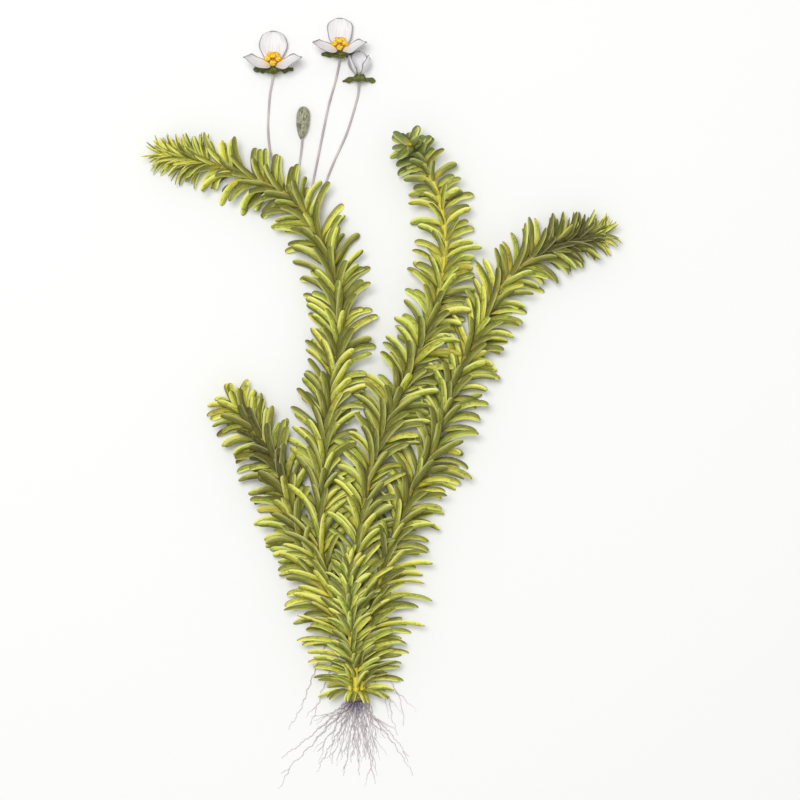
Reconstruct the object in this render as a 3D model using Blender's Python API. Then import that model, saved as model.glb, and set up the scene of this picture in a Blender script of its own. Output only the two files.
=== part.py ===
"""A brazilian waterweed, lifted with its roots and laid flat on a surface.

Metres, +Z up off the surface, +Y along the plant from its roots to its flowers. Each shoot is one grown
body, a square stem with whorls of four leaves. Roots, stalks, petals, sepals and the bud are pieces of
their own, and every piece keeps a small gap to its neighbours.
"""

import math
import random

import bmesh
import bpy
from mathutils import Vector
from mathutils.bvhtree import BVHTree

MM = 0.001
UP = Vector((0.0, 0.0, 1.0))

# Clearances
GAP = 0.3 * MM                  # between neighbouring pieces
LEAF_ROOM = 0.2 * MM            # kept free round a leaf when it is placed
SURFACE_CLEAR = 0.35 * MM       # height of a leaf's middle line where it lies on the surface

# Stems and leaves
STEM_RADIUS = 1.25 * MM         # out to a corner of the square stem
STEM_TIP_RADIUS = 0.55 * MM
STEM_TAPER_SHARE = 0.86         # share of the length from which the stem thins to its tip
WHORL_BAND = 1.0 * MM           # height of the ring of leaf bases
STEM_TIP_HEIGHT = 1.3 * MM      # how far the stem's tip stands past its last whorl
WHORL_OFFSET = 22.5             # degrees by which whorls turn to either side, in alternation
LEAF_STEPS = 12                 # steps along a leaf's middle line
LEAF_MIDDLE = 6                 # the step at which the solid leaf has its widest section
LEAF_TIP_SHARE = 0.55           # tip width to full width
LEAF_KEEL_SHARE = 0.15          # keel depth to full width
LEAF_BEND_POWER = 1.2
UPPER_START_EASE = 0.30         # leaves that face up are held closer to the stem
UPPER_END_EASE = 0.42
UPPER_SAG = 16.0                # degrees by which they lean over to the sides

# How leaves differ from each other, as shares or in degrees
LENGTH_RANGE = (0.88, 1.08)
WIDTH_RANGE = (0.9, 1.08)
AZIMUTH_SWAY = 9.0
START_SWAY = 6.0
END_SWAY = 11.0
SWEEP_SWAY = 12.0
FACE_TURN_RANGE = (0.5, 0.95)   # how far a leaf turns a flat side up
FACE_TURN_STRETCH = 0.3         # the share of its length over which it does
SURFACE_TURN = 0.5              # how far it does at each step along the surface
SURFACE_BEND = 9.0              # how far a leaf along the surface bends aside at each step

# A leaf that finds no room is tried again, with more sway and a little shorter each time
LEAF_ATTEMPTS = 16
ATTEMPT_SPREAD = 0.25
ATTEMPT_SHRINK = 0.03
SWOLLEN_START = 0.35            # where the shape to test for room starts between base and middle
SWOLLEN_STEP = 2
SWOLLEN_START_WIDTH = 0.8
BEHIND = 0.002 * MM             # how far behind a face a leaf is tested for being inside out

# Routes
ROUTE_STEP = 0.5 * MM
CURVE_CUTS = 24
TANGENT_REACH = 2.0 * MM

# Crown, the short rootstock that carries the shoots above and the roots below
CROWN_X = -12.6 * MM
CROWN_TOP = -129.5 * MM
CROWN_LENGTH = 5.5 * MM
CROWN_RADIUS = 4.4 * MM
CROWN_FOOT_RADIUS = 3.7 * MM
CROWN_SIDES = 12
CROWN_RINGS = 4
CROWN_LUMP = 0.06               # how far its corners may lie in, as a share of its radius
CROWN_SWELL = 0.07              # how far its middle stands out

# The routes of the shoots from the crown to the tip: x, y and height, in millimetres
LEFT_TALL_ROUTE = [
    (-15.3, -130.7, 5.8), (-15.5, -123.0, 6.0), (-16.6, -114.5, 7.8), (-19.2, -101.7, 9.0),
    (-23.0, -88.0, 9.0), (-27.0, -74.0, 9.0), (-29.2, -60.0, 8.6), (-28.4, -36.0, 8.0),
    (-26.6, -12.6, 7.0), (-22.1, 14.0, 6.5), (-20.2, 34.0, 6.5), (-22.9, 57.0, 6.5),
    (-27.0, 69.0, 6.5), (-32.4, 80.0, 6.5), (-39.2, 89.5, 6.5), (-48.6, 96.0, 6.5),
    (-60.0, 101.0, 6.3), (-73.0, 106.0, 6.0), (-87.0, 109.4, 5.6), (-98.8, 111.4, 5.0)]
LEFT_SHORT_ROUTE = [
    (-14.3, -130.7, 2.6), (-14.5, -123.0, 2.9), (-17.3, -112.0, 4.8), (-22.8, -95.0, 5.2),
    (-29.7, -81.0, 5.5), (-34.8, -71.0, 5.5), (-39.9, -55.0, 5.8), (-43.6, -42.0, 6.0),
    (-50.0, -25.0, 6.0), (-61.0, -9.5, 6.0), (-67.5, -0.5, 6.0)]
CENTRE_ROUTE = [
    (-9.9, -130.7, 5.8), (-10.0, -123.0, 6.1), (-11.6, -109.0, 8.6), (-11.8, -91.6, 9.0),
    (-11.8, -64.0, 9.0), (-8.8, -45.0, 8.5), (-3.4, -21.8, 8.0), (5.9, 1.4, 8.0),
    (15.2, 21.4, 8.0), (23.9, 45.5, 7.5), (27.6, 68.0, 7.5), (26.4, 84.0, 8.0),
    (23.2, 96.0, 8.5), (18.8, 105.5, 9.3), (14.8, 111.5, 11.6), (12.3, 114.6, 15.4),
    (11.7, 115.6, 18.4)]
RIGHT_ROUTE = [
    (-10.9, -130.7, 2.6), (-10.5, -123.0, 2.9), (-9.0, -112.0, 4.8), (-5.8, -95.0, 5.5),
    (-2.0, -81.5, 5.8), (1.8, -67.5, 6.0), (5.2, -58.0, 6.0), (14.0, -35.0, 6.0),
    (21.4, -23.4, 6.0), (30.7, 6.8, 6.0), (43.6, 34.3, 6.3), (54.0, 53.2, 6.5),
    (69.5, 67.0, 6.5), (84.0, 72.5, 6.2), (98.2, 75.8, 5.5)]
YOUNG_ROUTE = [
    (-12.6, -130.7, 7.9), (-12.7, -123.0, 8.6), (-14.0, -114.0, 12.0), (-15.0, -102.0, 13.5),
    (-15.8, -89.0, 13.8), (-15.5, -77.0, 13.2), (-16.5, -70.0, 12.5)]

# How the leaves of a shoot stand at shares of its length. Each row gives the share, the spacing of the
# whorls, the length and the width of a leaf in millimetres, and in degrees from the stem the lean with
# which a leaf starts and ends on the stem's left side, and then on its right side.
LEFT_TALL_HABIT = [
    (0.00, 5.5, 13.5, 2.5, 76, 126, 76, 126),
    (0.04, 5.8, 17.5, 2.9, 56, 96, 56, 96),
    (0.25, 7.2, 21.5, 3.2, 38, 72, 30, 90),
    (0.50, 7.2, 22.0, 3.2, 35, 66, 26, 95),
    (0.68, 7.2, 21.0, 3.3, 38, 82, 36, 82),
    (0.80, 6.6, 19.0, 3.4, 46, 106, 46, 84),
    (0.90, 5.5, 17.0, 3.4, 48, 112, 48, 82),
    (0.94, 4.2, 15.5, 2.5, 40, 85, 45, 75),
    (0.97, 3.1, 14.0, 2.0, 32, 70, 35, 72),
    (1.00, 2.1, 9.5, 1.7, 18, 50, 18, 50)]
LEFT_SHORT_HABIT = [
    (0.00, 5.5, 14.0, 2.5, 78, 128, 70, 110),
    (0.08, 6.0, 19.5, 2.9, 58, 98, 40, 76),
    (0.35, 6.3, 21.0, 3.2, 48, 102, 32, 66),
    (0.65, 6.0, 20.5, 3.3, 48, 112, 26, 54),
    (0.85, 5.4, 18.5, 3.4, 46, 110, 28, 58),
    (0.95, 3.6, 16.0, 3.2, 42, 92, 36, 72),
    (1.00, 2.2, 12.5, 3.3, 32, 76, 32, 76)]
CENTRE_HABIT = [
    (0.00, 5.5, 13.5, 2.5, 76, 126, 76, 126),
    (0.04, 6.0, 17.5, 2.9, 54, 96, 54, 96),
    (0.25, 7.2, 21.5, 3.2, 36, 82, 36, 86),
    (0.50, 7.2, 21.5, 3.2, 32, 96, 38, 92),
    (0.68, 7.2, 20.0, 3.3, 34, 98, 42, 98),
    (0.78, 7.2, 17.0, 3.6, 48, 102, 52, 102),
    (0.92, 6.6, 14.0, 4.0, 56, 106, 56, 106),
    (0.97, 3.6, 11.0, 4.2, 60, 100, 60, 100),
    (1.00, 2.6, 9.5, 4.2, 62, 94, 62, 94)]
RIGHT_HABIT = [
    (0.00, 5.5, 14.0, 2.5, 70, 110, 80, 128),
    (0.05, 6.0, 19.5, 2.9, 50, 88, 64, 102),
    (0.25, 7.2, 21.5, 3.1, 34, 74, 42, 104),
    (0.50, 7.2, 21.0, 3.1, 32, 74, 40, 108),
    (0.72, 7.2, 20.5, 3.1, 34, 72, 40, 104),
    (0.86, 6.0, 18.5, 3.0, 44, 78, 42, 98),
    (0.94, 3.3, 15.5, 2.5, 46, 82, 46, 84),
    (1.00, 2.1, 10.5, 2.0, 26, 60, 26, 60)]
YOUNG_HABIT = [
    (0.00, 4.6, 11.5, 2.4, 66, 104, 66, 104),
    (0.12, 4.8, 13.0, 2.6, 46, 84, 46, 84),
    (0.40, 4.8, 13.5, 2.7, 34, 74, 34, 74),
    (0.80, 4.2, 13.0, 2.7, 32, 68, 32, 68),
    (1.00, 2.0, 9.0, 2.2, 18, 46, 18, 46)]

SHOOTS = [
    ("shoot_young", YOUNG_ROUTE, YOUNG_HABIT),
    ("shoot_centre", CENTRE_ROUTE, CENTRE_HABIT),
    ("shoot_right", RIGHT_ROUTE, RIGHT_HABIT),
    ("shoot_left_tall", LEFT_TALL_ROUTE, LEFT_TALL_HABIT),
    ("shoot_left_short", LEFT_SHORT_ROUTE, LEFT_SHORT_HABIT)]
FIRST_WHORL = 2.0 * MM          # the lowest whorl's height on its stem
STEM_SHAPE_STEP = 3.0 * MM

# Roots: the tips of those that leave the crown, from left to right, in millimetres
ROOT_TIPS = [
    (-27.0, -143.0), (-46.5, -161.0), (-46.5, -168.5), (-25.5, -148.5), (-29.8, -158.5),
    (-30.2, -167.4), (-24.0, -163.5), (-18.6, -169.0), (-15.3, -163.0), (-10.8, -169.0),
    (-8.0, -161.5), (-3.6, -172.3), (-4.2, -156.6), (-2.5, -152.5), (0.5, -152.0),
    (14.0, -168.3), (11.5, -160.0)]
ROOT_RADIUS = 0.3 * MM
ROOT_TIP_RADIUS = 0.2 * MM
ROOT_POINTS = 6
ROOT_WAVE = 0.7 * MM
ROOT_WAVE_TURN = 5.0            # radians of the wave over a root's length
# Rows on the crown's foot: height, half width and how far out a root of that row reaches the surface
ROOT_ROWS = [(3.8 * MM, 3.0 * MM, 9.0 * MM), (1.3 * MM, 2.3 * MM, 4.0 * MM), (6.0 * MM, 2.4 * MM, 13.0 * MM)]

# Roots that leave a stem above the crown, as x, y and height in millimetres
STEM_ROOT_ROUTES = [
    [(-18.7, -111.5, 2.4), (-22.0, -116.0, 0.7), (-26.0, -124.5, 0.4), (-28.8, -133.2, 0.4),
     (-30.4, -138.0, 0.4), (-33.3, -146.2, 0.4)],
    [(-22.5, -99.5, 2.4), (-25.0, -106.0, 0.7), (-30.0, -118.0, 0.4), (-34.5, -130.0, 0.4),
     (-38.0, -139.0, 0.4), (-43.6, -148.1, 0.4)],
    [(-7.9, -109.5, 2.4), (-5.0, -115.0, 0.7), (0.5, -123.0, 0.4), (5.5, -130.5, 0.4),
     (8.1, -138.0, 0.4), (9.0, -146.7, 0.4)],
    [(-9.0, -120.0, 1.2), (-6.0, -124.5, 0.5), (-0.5, -130.0, 0.4), (2.6, -136.0, 0.4),
     (3.4, -142.5, 0.4), (6.3, -150.5, 0.4)]]

# Flower stalks: from the flower or bud down to the left shoot. The last point is set on the stem there
STALK_RADIUS = 0.5 * MM
STALKS = [
    ("left_flower_stalk",
     [(-50.1, 148.2, 3.3), (-50.6, 144.0, 1.2), (-51.6, 138.0, 0.55), (-52.4, 125.0, 0.55),
      (-51.6, 114.5, 0.55), (-49.6, 106.5, 0.9), (-47.3, 100.0, 3.4)]),
    ("bud_stalk",
     [(-37.0, 118.0, 2.0), (-37.3, 114.0, 0.8), (-38.2, 107.0, 0.55), (-38.9, 101.0, 0.8),
      (-39.6, 95.5, 3.6)]),
    ("middle_flower_stalk",
     [(-20.1, 155.2, 3.3), (-20.6, 151.0, 1.2), (-22.2, 144.0, 0.55), (-25.2, 133.0, 0.55),
      (-28.4, 117.5, 0.55), (-31.3, 103.0, 0.55), (-33.0, 95.0, 1.4), (-34.4, 89.5, 4.2)]),
    ("right_flower_stalk",
     [(-11.5, 144.0, 3.3), (-11.6, 140.0, 1.2), (-12.9, 134.0, 0.55), (-17.0, 121.0, 0.55),
      (-22.6, 108.5, 0.55), (-26.6, 98.0, 0.55), (-28.6, 90.0, 0.9), (-30.1, 83.2, 4.0)])]

# Petals
PETAL_LENGTH = 15.0 * MM
PETAL_WIDTH = 12.6 * MM
PETAL_THICKNESS = 0.45 * MM
PETAL_LEAST = 0.36 * MM         # thickness that is left where a petal lies on the surface
PETAL_FOOT = 1.5 * MM           # how far from the flower's axis a petal starts
PETAL_RISE = 0.9 * MM           # how far above the sepals it starts
PETAL_CUP = 0.13                # how far a petal's edges curl in, as a share of its width
PETAL_FOOT_WIDTH = 0.15         # share of the full width
PETAL_FULL_TURN = 0.80          # share of half a sine wave that its outline follows
PETAL_DELAY = 0.85              # below 1, its widest place is nearer its foot
PETAL_BLUNTNESS = 0.75
PETAL_ROWS = 4
PETAL_COLUMNS = 2
# A flower's petals: the name's ending, the turn round the axis from the lowest side, the lean from the
# axis at the foot and at the tip, the roll about its own length, all in degrees, and the share of the width
OPEN_PETALS = [("petal_back", 0.0, 46.0, 14.0, 0.0, 1.0), ("petal_left", -118.0, 84.0, 44.0, 20.0, 0.8),
               ("petal_right", 118.0, 84.0, 44.0, 20.0, 0.8)]
CLOSED_PETALS = [("petal_back", 0.0, 40.0, -6.0, 0.0, 0.85), ("petal_left", -120.0, 52.0, -14.0, 0.0, 0.85),
                 ("petal_right", 120.0, 52.0, -14.0, 0.0, 0.85)]

# Cup and sepals
CUP_SIDES = 6
CUP_TURN = 360.0 / CUP_SIDES
CUP_RADIUS = 1.5 * MM
# Rings of the cup from its foot up: height on the flower's axis and radius
CUP_RINGS = [(-1.6 * MM, 0.7 * MM), (-0.55 * MM, CUP_RADIUS), (0.2 * MM, CUP_RADIUS)]
SEPAL_LENGTH = 9.0 * MM
SEPAL_WIDTH = 3.6 * MM
SEPAL_KEEL = 0.6 * MM
SEPAL_DROP = 0.8 * MM
SEPAL_CLEAR = 0.5 * MM          # least height of a sepal's middle line
SEPAL_SIDES = (0, 2, 4)         # the cup's sides that bear a sepal
# Sections of a sepal: share of its length, rise as a share of its length, and share of its width
SEPAL_SECTIONS = [(0.5, -0.10, 1.0), (1.0, -0.24, 0.35)]

# Stamens
STAMEN_LENGTH = 4.3 * MM
STAMEN_WIDTH = 1.3 * MM
STAMEN_KEEL = 0.7 * MM
STAMEN_WHORLS = 3
STAMEN_TURN = 120.0             # from stamen to stamen in a whorl of three
STAMEN_CORE = 0.75 * MM
STAMEN_BAND = 0.6 * MM          # height of a whorl's foot on the core
STAMEN_WHORL_STEP = 0.9 * MM
STAMEN_LEAN = 54.0              # degrees from the axis for the lowest whorl
STAMEN_LEAN_STEP = 18.0
# Sections of a stamen: share of its length and of its width
STAMEN_SECTIONS = [(0.75, 1.0), (1.0, 0.55)]

# Flowers: name, where the petals meet in millimetres, size, tilt up off the surface in degrees, petals,
# size of the petals, and whether the stamens show
FLOWERS = [
    ("left_flower", (-50.0, 151.4, 4.2), 1.0, 25.0, OPEN_PETALS, 1.0, True),
    ("middle_flower", (-19.9, 158.4, 4.2), 0.92, 25.0, OPEN_PETALS, 0.92, True),
    ("right_flower", (-11.3, 147.2, 4.2), 0.80, 18.0, CLOSED_PETALS, 0.68, False)]

# Bud
BUD_FOOT = (-36.9 * MM, 118.6 * MM)
BUD_LENGTH = 14.6 * MM
BUD_RADIUS = 2.8 * MM
BUD_END_SHARE = 0.25            # least radius to full radius
BUD_SIDES = 8
BUD_RINGS = 6
BUD_SWELL_SPAN = (0.06, 0.92)   # the stretch of half a sine wave that its outline follows
BUD_BLUNTNESS = 0.8

COLOURS = {
    "leaf": ((0.235, 0.270, 0.055), 0.50),
    "young_leaf": ((0.200, 0.290, 0.050), 0.50),
    "crown": ((0.400, 0.340, 0.160), 0.70),
    "root": ((0.420, 0.380, 0.350), 0.75),
    "stalk": ((0.560, 0.530, 0.520), 0.60),
    "petal": ((0.860, 0.860, 0.830), 0.45),
    "sepal": ((0.120, 0.130, 0.040), 0.60),
    "stamen": ((0.760, 0.420, 0.050), 0.55),
    "bud": ((0.280, 0.300, 0.190), 0.60)}


def clear_scene():
    """Remove the objects that a new file starts with."""
    for thing in list(bpy.data.objects):
        bpy.data.objects.remove(thing, do_unlink=True)


def own_material(name, kind):
    """A material of the piece's own, in the colour of its kind."""
    colour, roughness = COLOURS[kind]
    material = bpy.data.materials.new(name)
    material.use_nodes = True
    shader = material.node_tree.nodes["Principled BSDF"]
    shader.inputs["Base Color"].default_value = (*colour, 1.0)
    shader.inputs["Roughness"].default_value = roughness
    shader.inputs["Metallic"].default_value = 0.0
    return material


def add_object(name, data, kind):
    """Put a mesh or curve in the scene under its piece's name."""
    thing = bpy.data.objects.new(name, data)
    bpy.context.scene.collection.objects.link(thing)
    data.materials.append(own_material(name, kind))
    return thing


def add_solid(name, points, faces, kind):
    """Make one closed body from its points and faces, all faces pointing out."""
    shape = bmesh.new()
    corners = [shape.verts.new(point) for point in points]
    for face in faces:
        shape.faces.new([corners[index] for index in face])
    bmesh.ops.triangulate(shape, faces=shape.faces[:])
    bmesh.ops.recalc_face_normals(shape, faces=shape.faces[:])
    if shape.calc_volume(signed=True) < 0:
        bmesh.ops.reverse_faces(shape, faces=shape.faces[:])
    mesh = bpy.data.meshes.new(name)
    shape.to_mesh(mesh)
    shape.free()
    return add_object(name, mesh, kind)


def add_tube(name, points, radii, kind):
    """A thin square tube with closed ends along the points."""
    curve = bpy.data.curves.new(name, "CURVE")
    curve.dimensions = "3D"
    curve.bevel_depth = 1.0
    curve.bevel_resolution = 0
    curve.use_fill_caps = True
    spline = curve.splines.new("POLY")
    spline.points.add(len(points) - 1)
    for knot, point, radius in zip(spline.points, points, radii):
        knot.co = (*point, 1.0)
        knot.radius = radius
    return add_object(name, curve, kind)


def smooth_route(points_mm):
    """A smooth curve through the points, as points a fixed step apart along it."""
    points = [Vector(point) * MM for point in points_mm]
    knots = [2 * points[0] - points[1]] + points + [2 * points[-1] - points[-2]]
    dense = []
    for a, b, c, d in zip(knots, knots[1:], knots[2:], knots[3:]):
        for cut in range(CURVE_CUTS):
            t = cut / CURVE_CUTS
            dense.append(0.5 * (2 * b + (c - a) * t + (2 * a - 5 * b + 4 * c - d) * t ** 2
                                + (3 * b - a - 3 * c + d) * t ** 3))
    dense.append(points[-1])
    route = [dense[0]]
    needed = ROUTE_STEP
    for start, end in zip(dense, dense[1:]):
        stretch = (end - start).length
        done = 0.0
        while stretch - done >= needed:
            done += needed
            route.append(start.lerp(end, done / stretch))
            needed = ROUTE_STEP
        needed -= stretch - done
    return route


def point_on(route, distance):
    """The point at a distance along a route."""
    place = min(max(distance / ROUTE_STEP, 0.0), len(route) - 1.001)
    index = int(place)
    return route[index].lerp(route[index + 1], place - index)


def frame_on(route, distance):
    """Point, heading, right-hand direction and upward direction at a distance along a route."""
    behind = point_on(route, distance - TANGENT_REACH)
    ahead = point_on(route, distance + TANGENT_REACH)
    along = (ahead - behind).normalized()
    up = (UP - along * along.z).normalized()
    return point_on(route, distance), along, along.cross(up), up


def habit_at(rows, share):
    """The leaf habit at a share of the shoot's length, read between the rows of its table."""
    for low, high in zip(rows, rows[1:]):
        if share <= high[0]:
            part = (share - low[0]) / (high[0] - low[0])
            return [a + (b - a) * part for a, b in zip(low[1:], high[1:])]
    return list(rows[-1][1:])


def whorl_distances(route, habit):
    """Distances along the stem at which the whorls of leaves stand."""
    length = (len(route) - 1) * ROUTE_STEP
    distances = []
    distance = FIRST_WHORL
    while distance < length - WHORL_BAND:
        distances.append(distance)
        distance += habit_at(habit, distance / length)[0] * MM
    return distances


def stem_radius(share):
    """The stem's corner radius, thinning to the tip over its last stretch."""
    part = min(max((share - STEM_TAPER_SHARE) / (1.0 - STEM_TAPER_SHARE), 0.0), 1.0)
    return STEM_RADIUS + (STEM_TIP_RADIUS - STEM_RADIUS) * part


def above(point, height):
    """The point, raised to a height where it is lower."""
    return Vector((point.x, point.y, max(point.z, height)))


def leaf_line(frame, foot, azimuth, habit, seed, attempt):
    """One leaf's middle line: its points with their width and face directions, and its width.

    A leaf leans out from the stem more and more, turns a flat side up, and lies along the surface
    once it has come down to it.
    """
    _, along, side, up = frame
    chance = random.Random(f"{seed} {attempt}")
    spread = 1.0 + ATTEMPT_SPREAD * attempt
    _, length, width, start_left, end_left, start_right, end_right = habit
    length *= MM * chance.uniform(*LENGTH_RANGE) * (1.0 - ATTEMPT_SHRINK * attempt)
    width *= MM * chance.uniform(*WIDTH_RANGE)
    azimuth += chance.uniform(-AZIMUTH_SWAY, AZIMUTH_SWAY) * spread
    right = 0.5 + 0.5 * math.cos(math.radians(azimuth))
    facing_up = max(math.sin(math.radians(azimuth)), 0.0)
    start = start_left + (start_right - start_left) * right
    start += chance.uniform(-START_SWAY, START_SWAY) * spread
    start *= 1.0 - UPPER_START_EASE * facing_up
    end = end_left + (end_right - end_left) * right
    end += chance.uniform(-END_SWAY, END_SWAY) * spread
    end *= 1.0 - UPPER_END_EASE * facing_up
    sweep = chance.uniform(-SWEEP_SWAY, SWEEP_SWAY)
    sweep -= UPPER_SAG * facing_up * math.copysign(1.0, math.cos(math.radians(azimuth)))
    turned = chance.uniform(*FACE_TURN_RANGE)
    point = foot.copy()
    face = None
    line = []
    for step in range(LEAF_STEPS + 1):
        share = step / LEAF_STEPS
        around = math.radians(azimuth + sweep * share)
        outward = side * math.cos(around) + up * math.sin(around)
        lean = math.radians(start + (end - start) * share ** LEAF_BEND_POWER)
        heading = along * math.cos(lean) + outward * math.sin(lean)
        inward = along * math.sin(lean) - outward * math.cos(lean)
        on_surface = point.z + heading.z * length / LEAF_STEPS < SURFACE_CLEAR
        if on_surface:
            heading = level_heading(heading, line)
        flat = UP - heading * heading.z
        upper_side = inward if face is None else face
        flat = flat.normalized() * math.copysign(1.0, upper_side.dot(flat))
        wanted = inward.lerp(flat, turned * min(share / FACE_TURN_STRETCH, 1.0))
        if on_surface and face is not None:
            wanted = face.lerp(UP * math.copysign(1.0, face.z), SURFACE_TURN)
        face = (wanted - heading * wanted.dot(heading)).normalized()
        line.append((point.copy(), heading.cross(face), face))
        point = point + heading * (length / LEAF_STEPS)
        point.z = max(point.z, SURFACE_CLEAR)
    return line, width


def level_heading(heading, line):
    """The heading along the surface, turned no more than a little from the leaf's last two points."""
    level = Vector((heading.x, heading.y, 0.0)).normalized()
    if len(line) < 2:
        return level
    last = line[-1][0] - line[-2][0]
    last = Vector((last.x, last.y, 0.0)).normalized()
    bend = math.degrees(math.atan2(last.cross(level).z, last.dot(level)))
    bend = math.radians(min(max(bend, -SURFACE_BEND), SURFACE_BEND))
    return last * math.cos(bend) + UP.cross(last) * math.sin(bend)


def lifted(corners):
    """The corners, raised together where the lowest would be under the surface."""
    lift = max(-min(corner.z for corner in corners), 0.0)
    return [corner + UP * lift for corner in corners]


def leaf_corners(line, width):
    """The solid leaf's corners past its base: left, right and keel in its middle, two at its tip."""
    point, across, face = line[LEAF_MIDDLE]
    half = across * (width / 2)
    middle = lifted([point - half, point + half, point - face * (LEAF_KEEL_SHARE * width)])
    point, across, _ = line[-1]
    half = across * (width * LEAF_TIP_SHARE / 2)
    return middle + lifted([point - half, point + half])


def swollen_leaf(line, width):
    """A slightly larger leaf that starts a little off the stem, to test for free room."""
    middle = line[LEAF_MIDDLE][0]
    start = line[0][0].lerp(middle, SWOLLEN_START)
    stations = [(start, line[SWOLLEN_STEP], SWOLLEN_START_WIDTH), (middle, line[LEAF_MIDDLE], 1.0),
                (line[-1][0], line[-1], LEAF_TIP_SHARE)]
    points = []
    for centre, (_, across, face), share in stations:
        half = across * (width * share / 2 + LEAF_ROOM)
        points += [centre - half, centre - face * (LEAF_KEEL_SHARE * width + LEAF_ROOM),
                   centre + half, centre + face * LEAF_ROOM]
    faces = []
    for ring in (0, 4):
        for corner in range(4):
            after = (corner + 1) % 4
            faces.append((ring + corner, ring + after, ring + 4 + after, ring + 4 + corner))
    faces += [(0, 1, 2, 3), (8, 9, 10, 11)]
    return points, faces


def box_of(points):
    """Lowest and highest corner of some points."""
    low = [min(point[axis] for point in points) for axis in range(3)]
    high = [max(point[axis] for point in points) for axis in range(3)]
    return low, high


def is_free(points, faces, taken):
    """Whether a shape crosses none of the shapes that are already there."""
    low, high = box_of(points)
    tree = None
    for other_low, other_high, other_tree in taken:
        apart = any(low[axis] > other_high[axis] or high[axis] < other_low[axis] for axis in range(3))
        if apart:
            continue
        if tree is None:
            tree = BVHTree.FromPolygons(points, faces)
        if tree.overlap(other_tree):
            return False
    return True


def take_room(points, faces, taken):
    """Add a shape to those that are already there."""
    low, high = box_of(points)
    taken.append((low, high, BVHTree.FromPolygons(points, faces)))


# A leaf form's corners: base lower left 0, lower right 1, upper right 2 and upper left 3, then at its
# middle left 4, right 5 and keel 6, and at its tip left 7 and right 8
LEAF_QUADS = [(3, 2, 5, 4), (0, 3, 4, 6), (2, 1, 6, 5)]
LEAF_TRIANGLES = [(0, 6, 1), (4, 5, 8), (4, 8, 7), (6, 7, 8), (4, 7, 6), (5, 6, 8)]
LEAF_BASE = [(0, 1, 2), (0, 2, 3)]


def bulging(points, quad, inside):
    """A side with four corners as two triangles, split along the diagonal on which it bulges out."""
    a, b, c, d = quad
    normal = (points[b] - points[a]).cross(points[c] - points[a])
    if normal.dot(points[d] - points[a]) * normal.dot(inside - points[a]) > 0:
        return [(a, b, c), (a, c, d)]
    return [(a, b, d), (b, c, d)]


def leaf_faces(points):
    """Faces of a leaf form from its nine corners, with its base taken round so that it twists least."""
    across = points[5] - points[4]
    heading = ((points[4] + points[5]) / 2 - sum(points[:4], Vector()) / 4).normalized()
    likeness = []
    for corner in range(4):
        edge = points[(corner + 1) % 4] - points[corner]
        likeness.append((edge - heading * edge.dot(heading)).normalized().dot(across))
    turn = likeness.index(max(likeness))
    names = [(corner + turn) % 4 for corner in range(4)] + list(range(4, 9))
    inside = sum(points[:7], Vector()) / 7
    faces = [tuple(names[corner] for corner in face) for face in LEAF_TRIANGLES]
    for quad in LEAF_QUADS:
        faces += bulging(points, [names[corner] for corner in quad], inside)
    return faces


def leaf_solid(base, line, width):
    """Points and faces of a leaf from the four corners of its base."""
    points = base + leaf_corners(line, width)
    return points, leaf_faces(points)


def ring_points(frame, radius, turn, height):
    """Corners of the square stem at a height along it, the first one on the right of leaf 0."""
    point, along, side, up = frame
    corners = []
    for corner in range(4):
        around = math.radians(turn - 45.0 + 90.0 * corner)
        corners.append(point + along * height + (side * math.cos(around) + up * math.sin(around)) * radius)
    return corners


def build_shoot(name, route_mm, habit, taken):
    """One shoot: the stem, with each leaf grown out of its side of the stem."""
    route = smooth_route(route_mm)
    length = (len(route) - 1) * ROUTE_STEP
    half_band = WHORL_BAND / 2
    points = []
    faces = []
    distances = whorl_distances(route, habit)
    below = None
    for whorl, distance in enumerate(distances):
        share = distance / length
        frame = frame_on(route, distance)
        radius = stem_radius(share)
        turn = WHORL_OFFSET if whorl % 2 else -WHORL_OFFSET
        first = len(points)
        points += ring_points(frame, radius, turn, -half_band)
        points += ring_points(frame, radius, turn, half_band)
        if below is None:
            faces.append(tuple(first + corner for corner in (3, 2, 1, 0)))
        else:
            faces += join_rings(below, first, whorl)
        below = first + 4
        earlier = list(taken[name][1:])
        for leaf in range(4):
            after = (leaf + 1) % 4
            base = [first + leaf, first + after, first + 4 + after, first + 4 + leaf]
            grown = grow_leaf(f"{name} {whorl} {leaf}", [points[index] for index in base], frame,
                              turn + 90.0 * leaf, habit_at(habit, share), taken, earlier)
            if grown is None:
                faces.append(tuple(base))
                continue
            solid_points, solid_faces = grown
            take_room(solid_points, solid_faces, taken[name])
            names = base + list(range(len(points), len(points) + 5))
            points += solid_points[4:]
            faces += [tuple(names[index] for index in face) for face in solid_faces]
    tip = len(points)
    last = frame_on(route, distances[-1])
    points.append(last[0] + last[1] * STEM_TIP_HEIGHT)
    faces += [(below + corner, below + (corner + 1) % 4, tip) for corner in range(4)]
    return points, faces


def join_rings(below, above, whorl):
    """Faces of the stem between two whorls, which are turned against each other by 45 degrees."""
    lead = -1 if whorl % 2 else 0
    faces = []
    for corner in range(4):
        after = (corner + 1) % 4
        top = (corner + lead) % 4
        top_after = (corner + lead + 1) % 4
        faces.append((below + corner, above + top_after, above + top))
        faces.append((below + corner, below + after, above + top_after))
    return faces


def crosses_itself(points, faces):
    """Whether two faces of a shape that don't touch at a corner cross each other."""
    tree = BVHTree.FromPolygons(points, faces)
    return any(not set(faces[one]) & set(faces[other]) for one, other in tree.overlap(tree))


def times_round(point, points, faces):
    """How many times a closed shape of triangles goes round a point."""
    total = 0.0
    for face in faces:
        a, b, c = [points[index] - point for index in face]
        far = a.length * b.length * c.length
        far += a.dot(b) * c.length + b.dot(c) * a.length + c.dot(a) * b.length
        total += 2 * math.atan2(a.dot(b.cross(c)), far)
    return total / (4 * math.pi)


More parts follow.
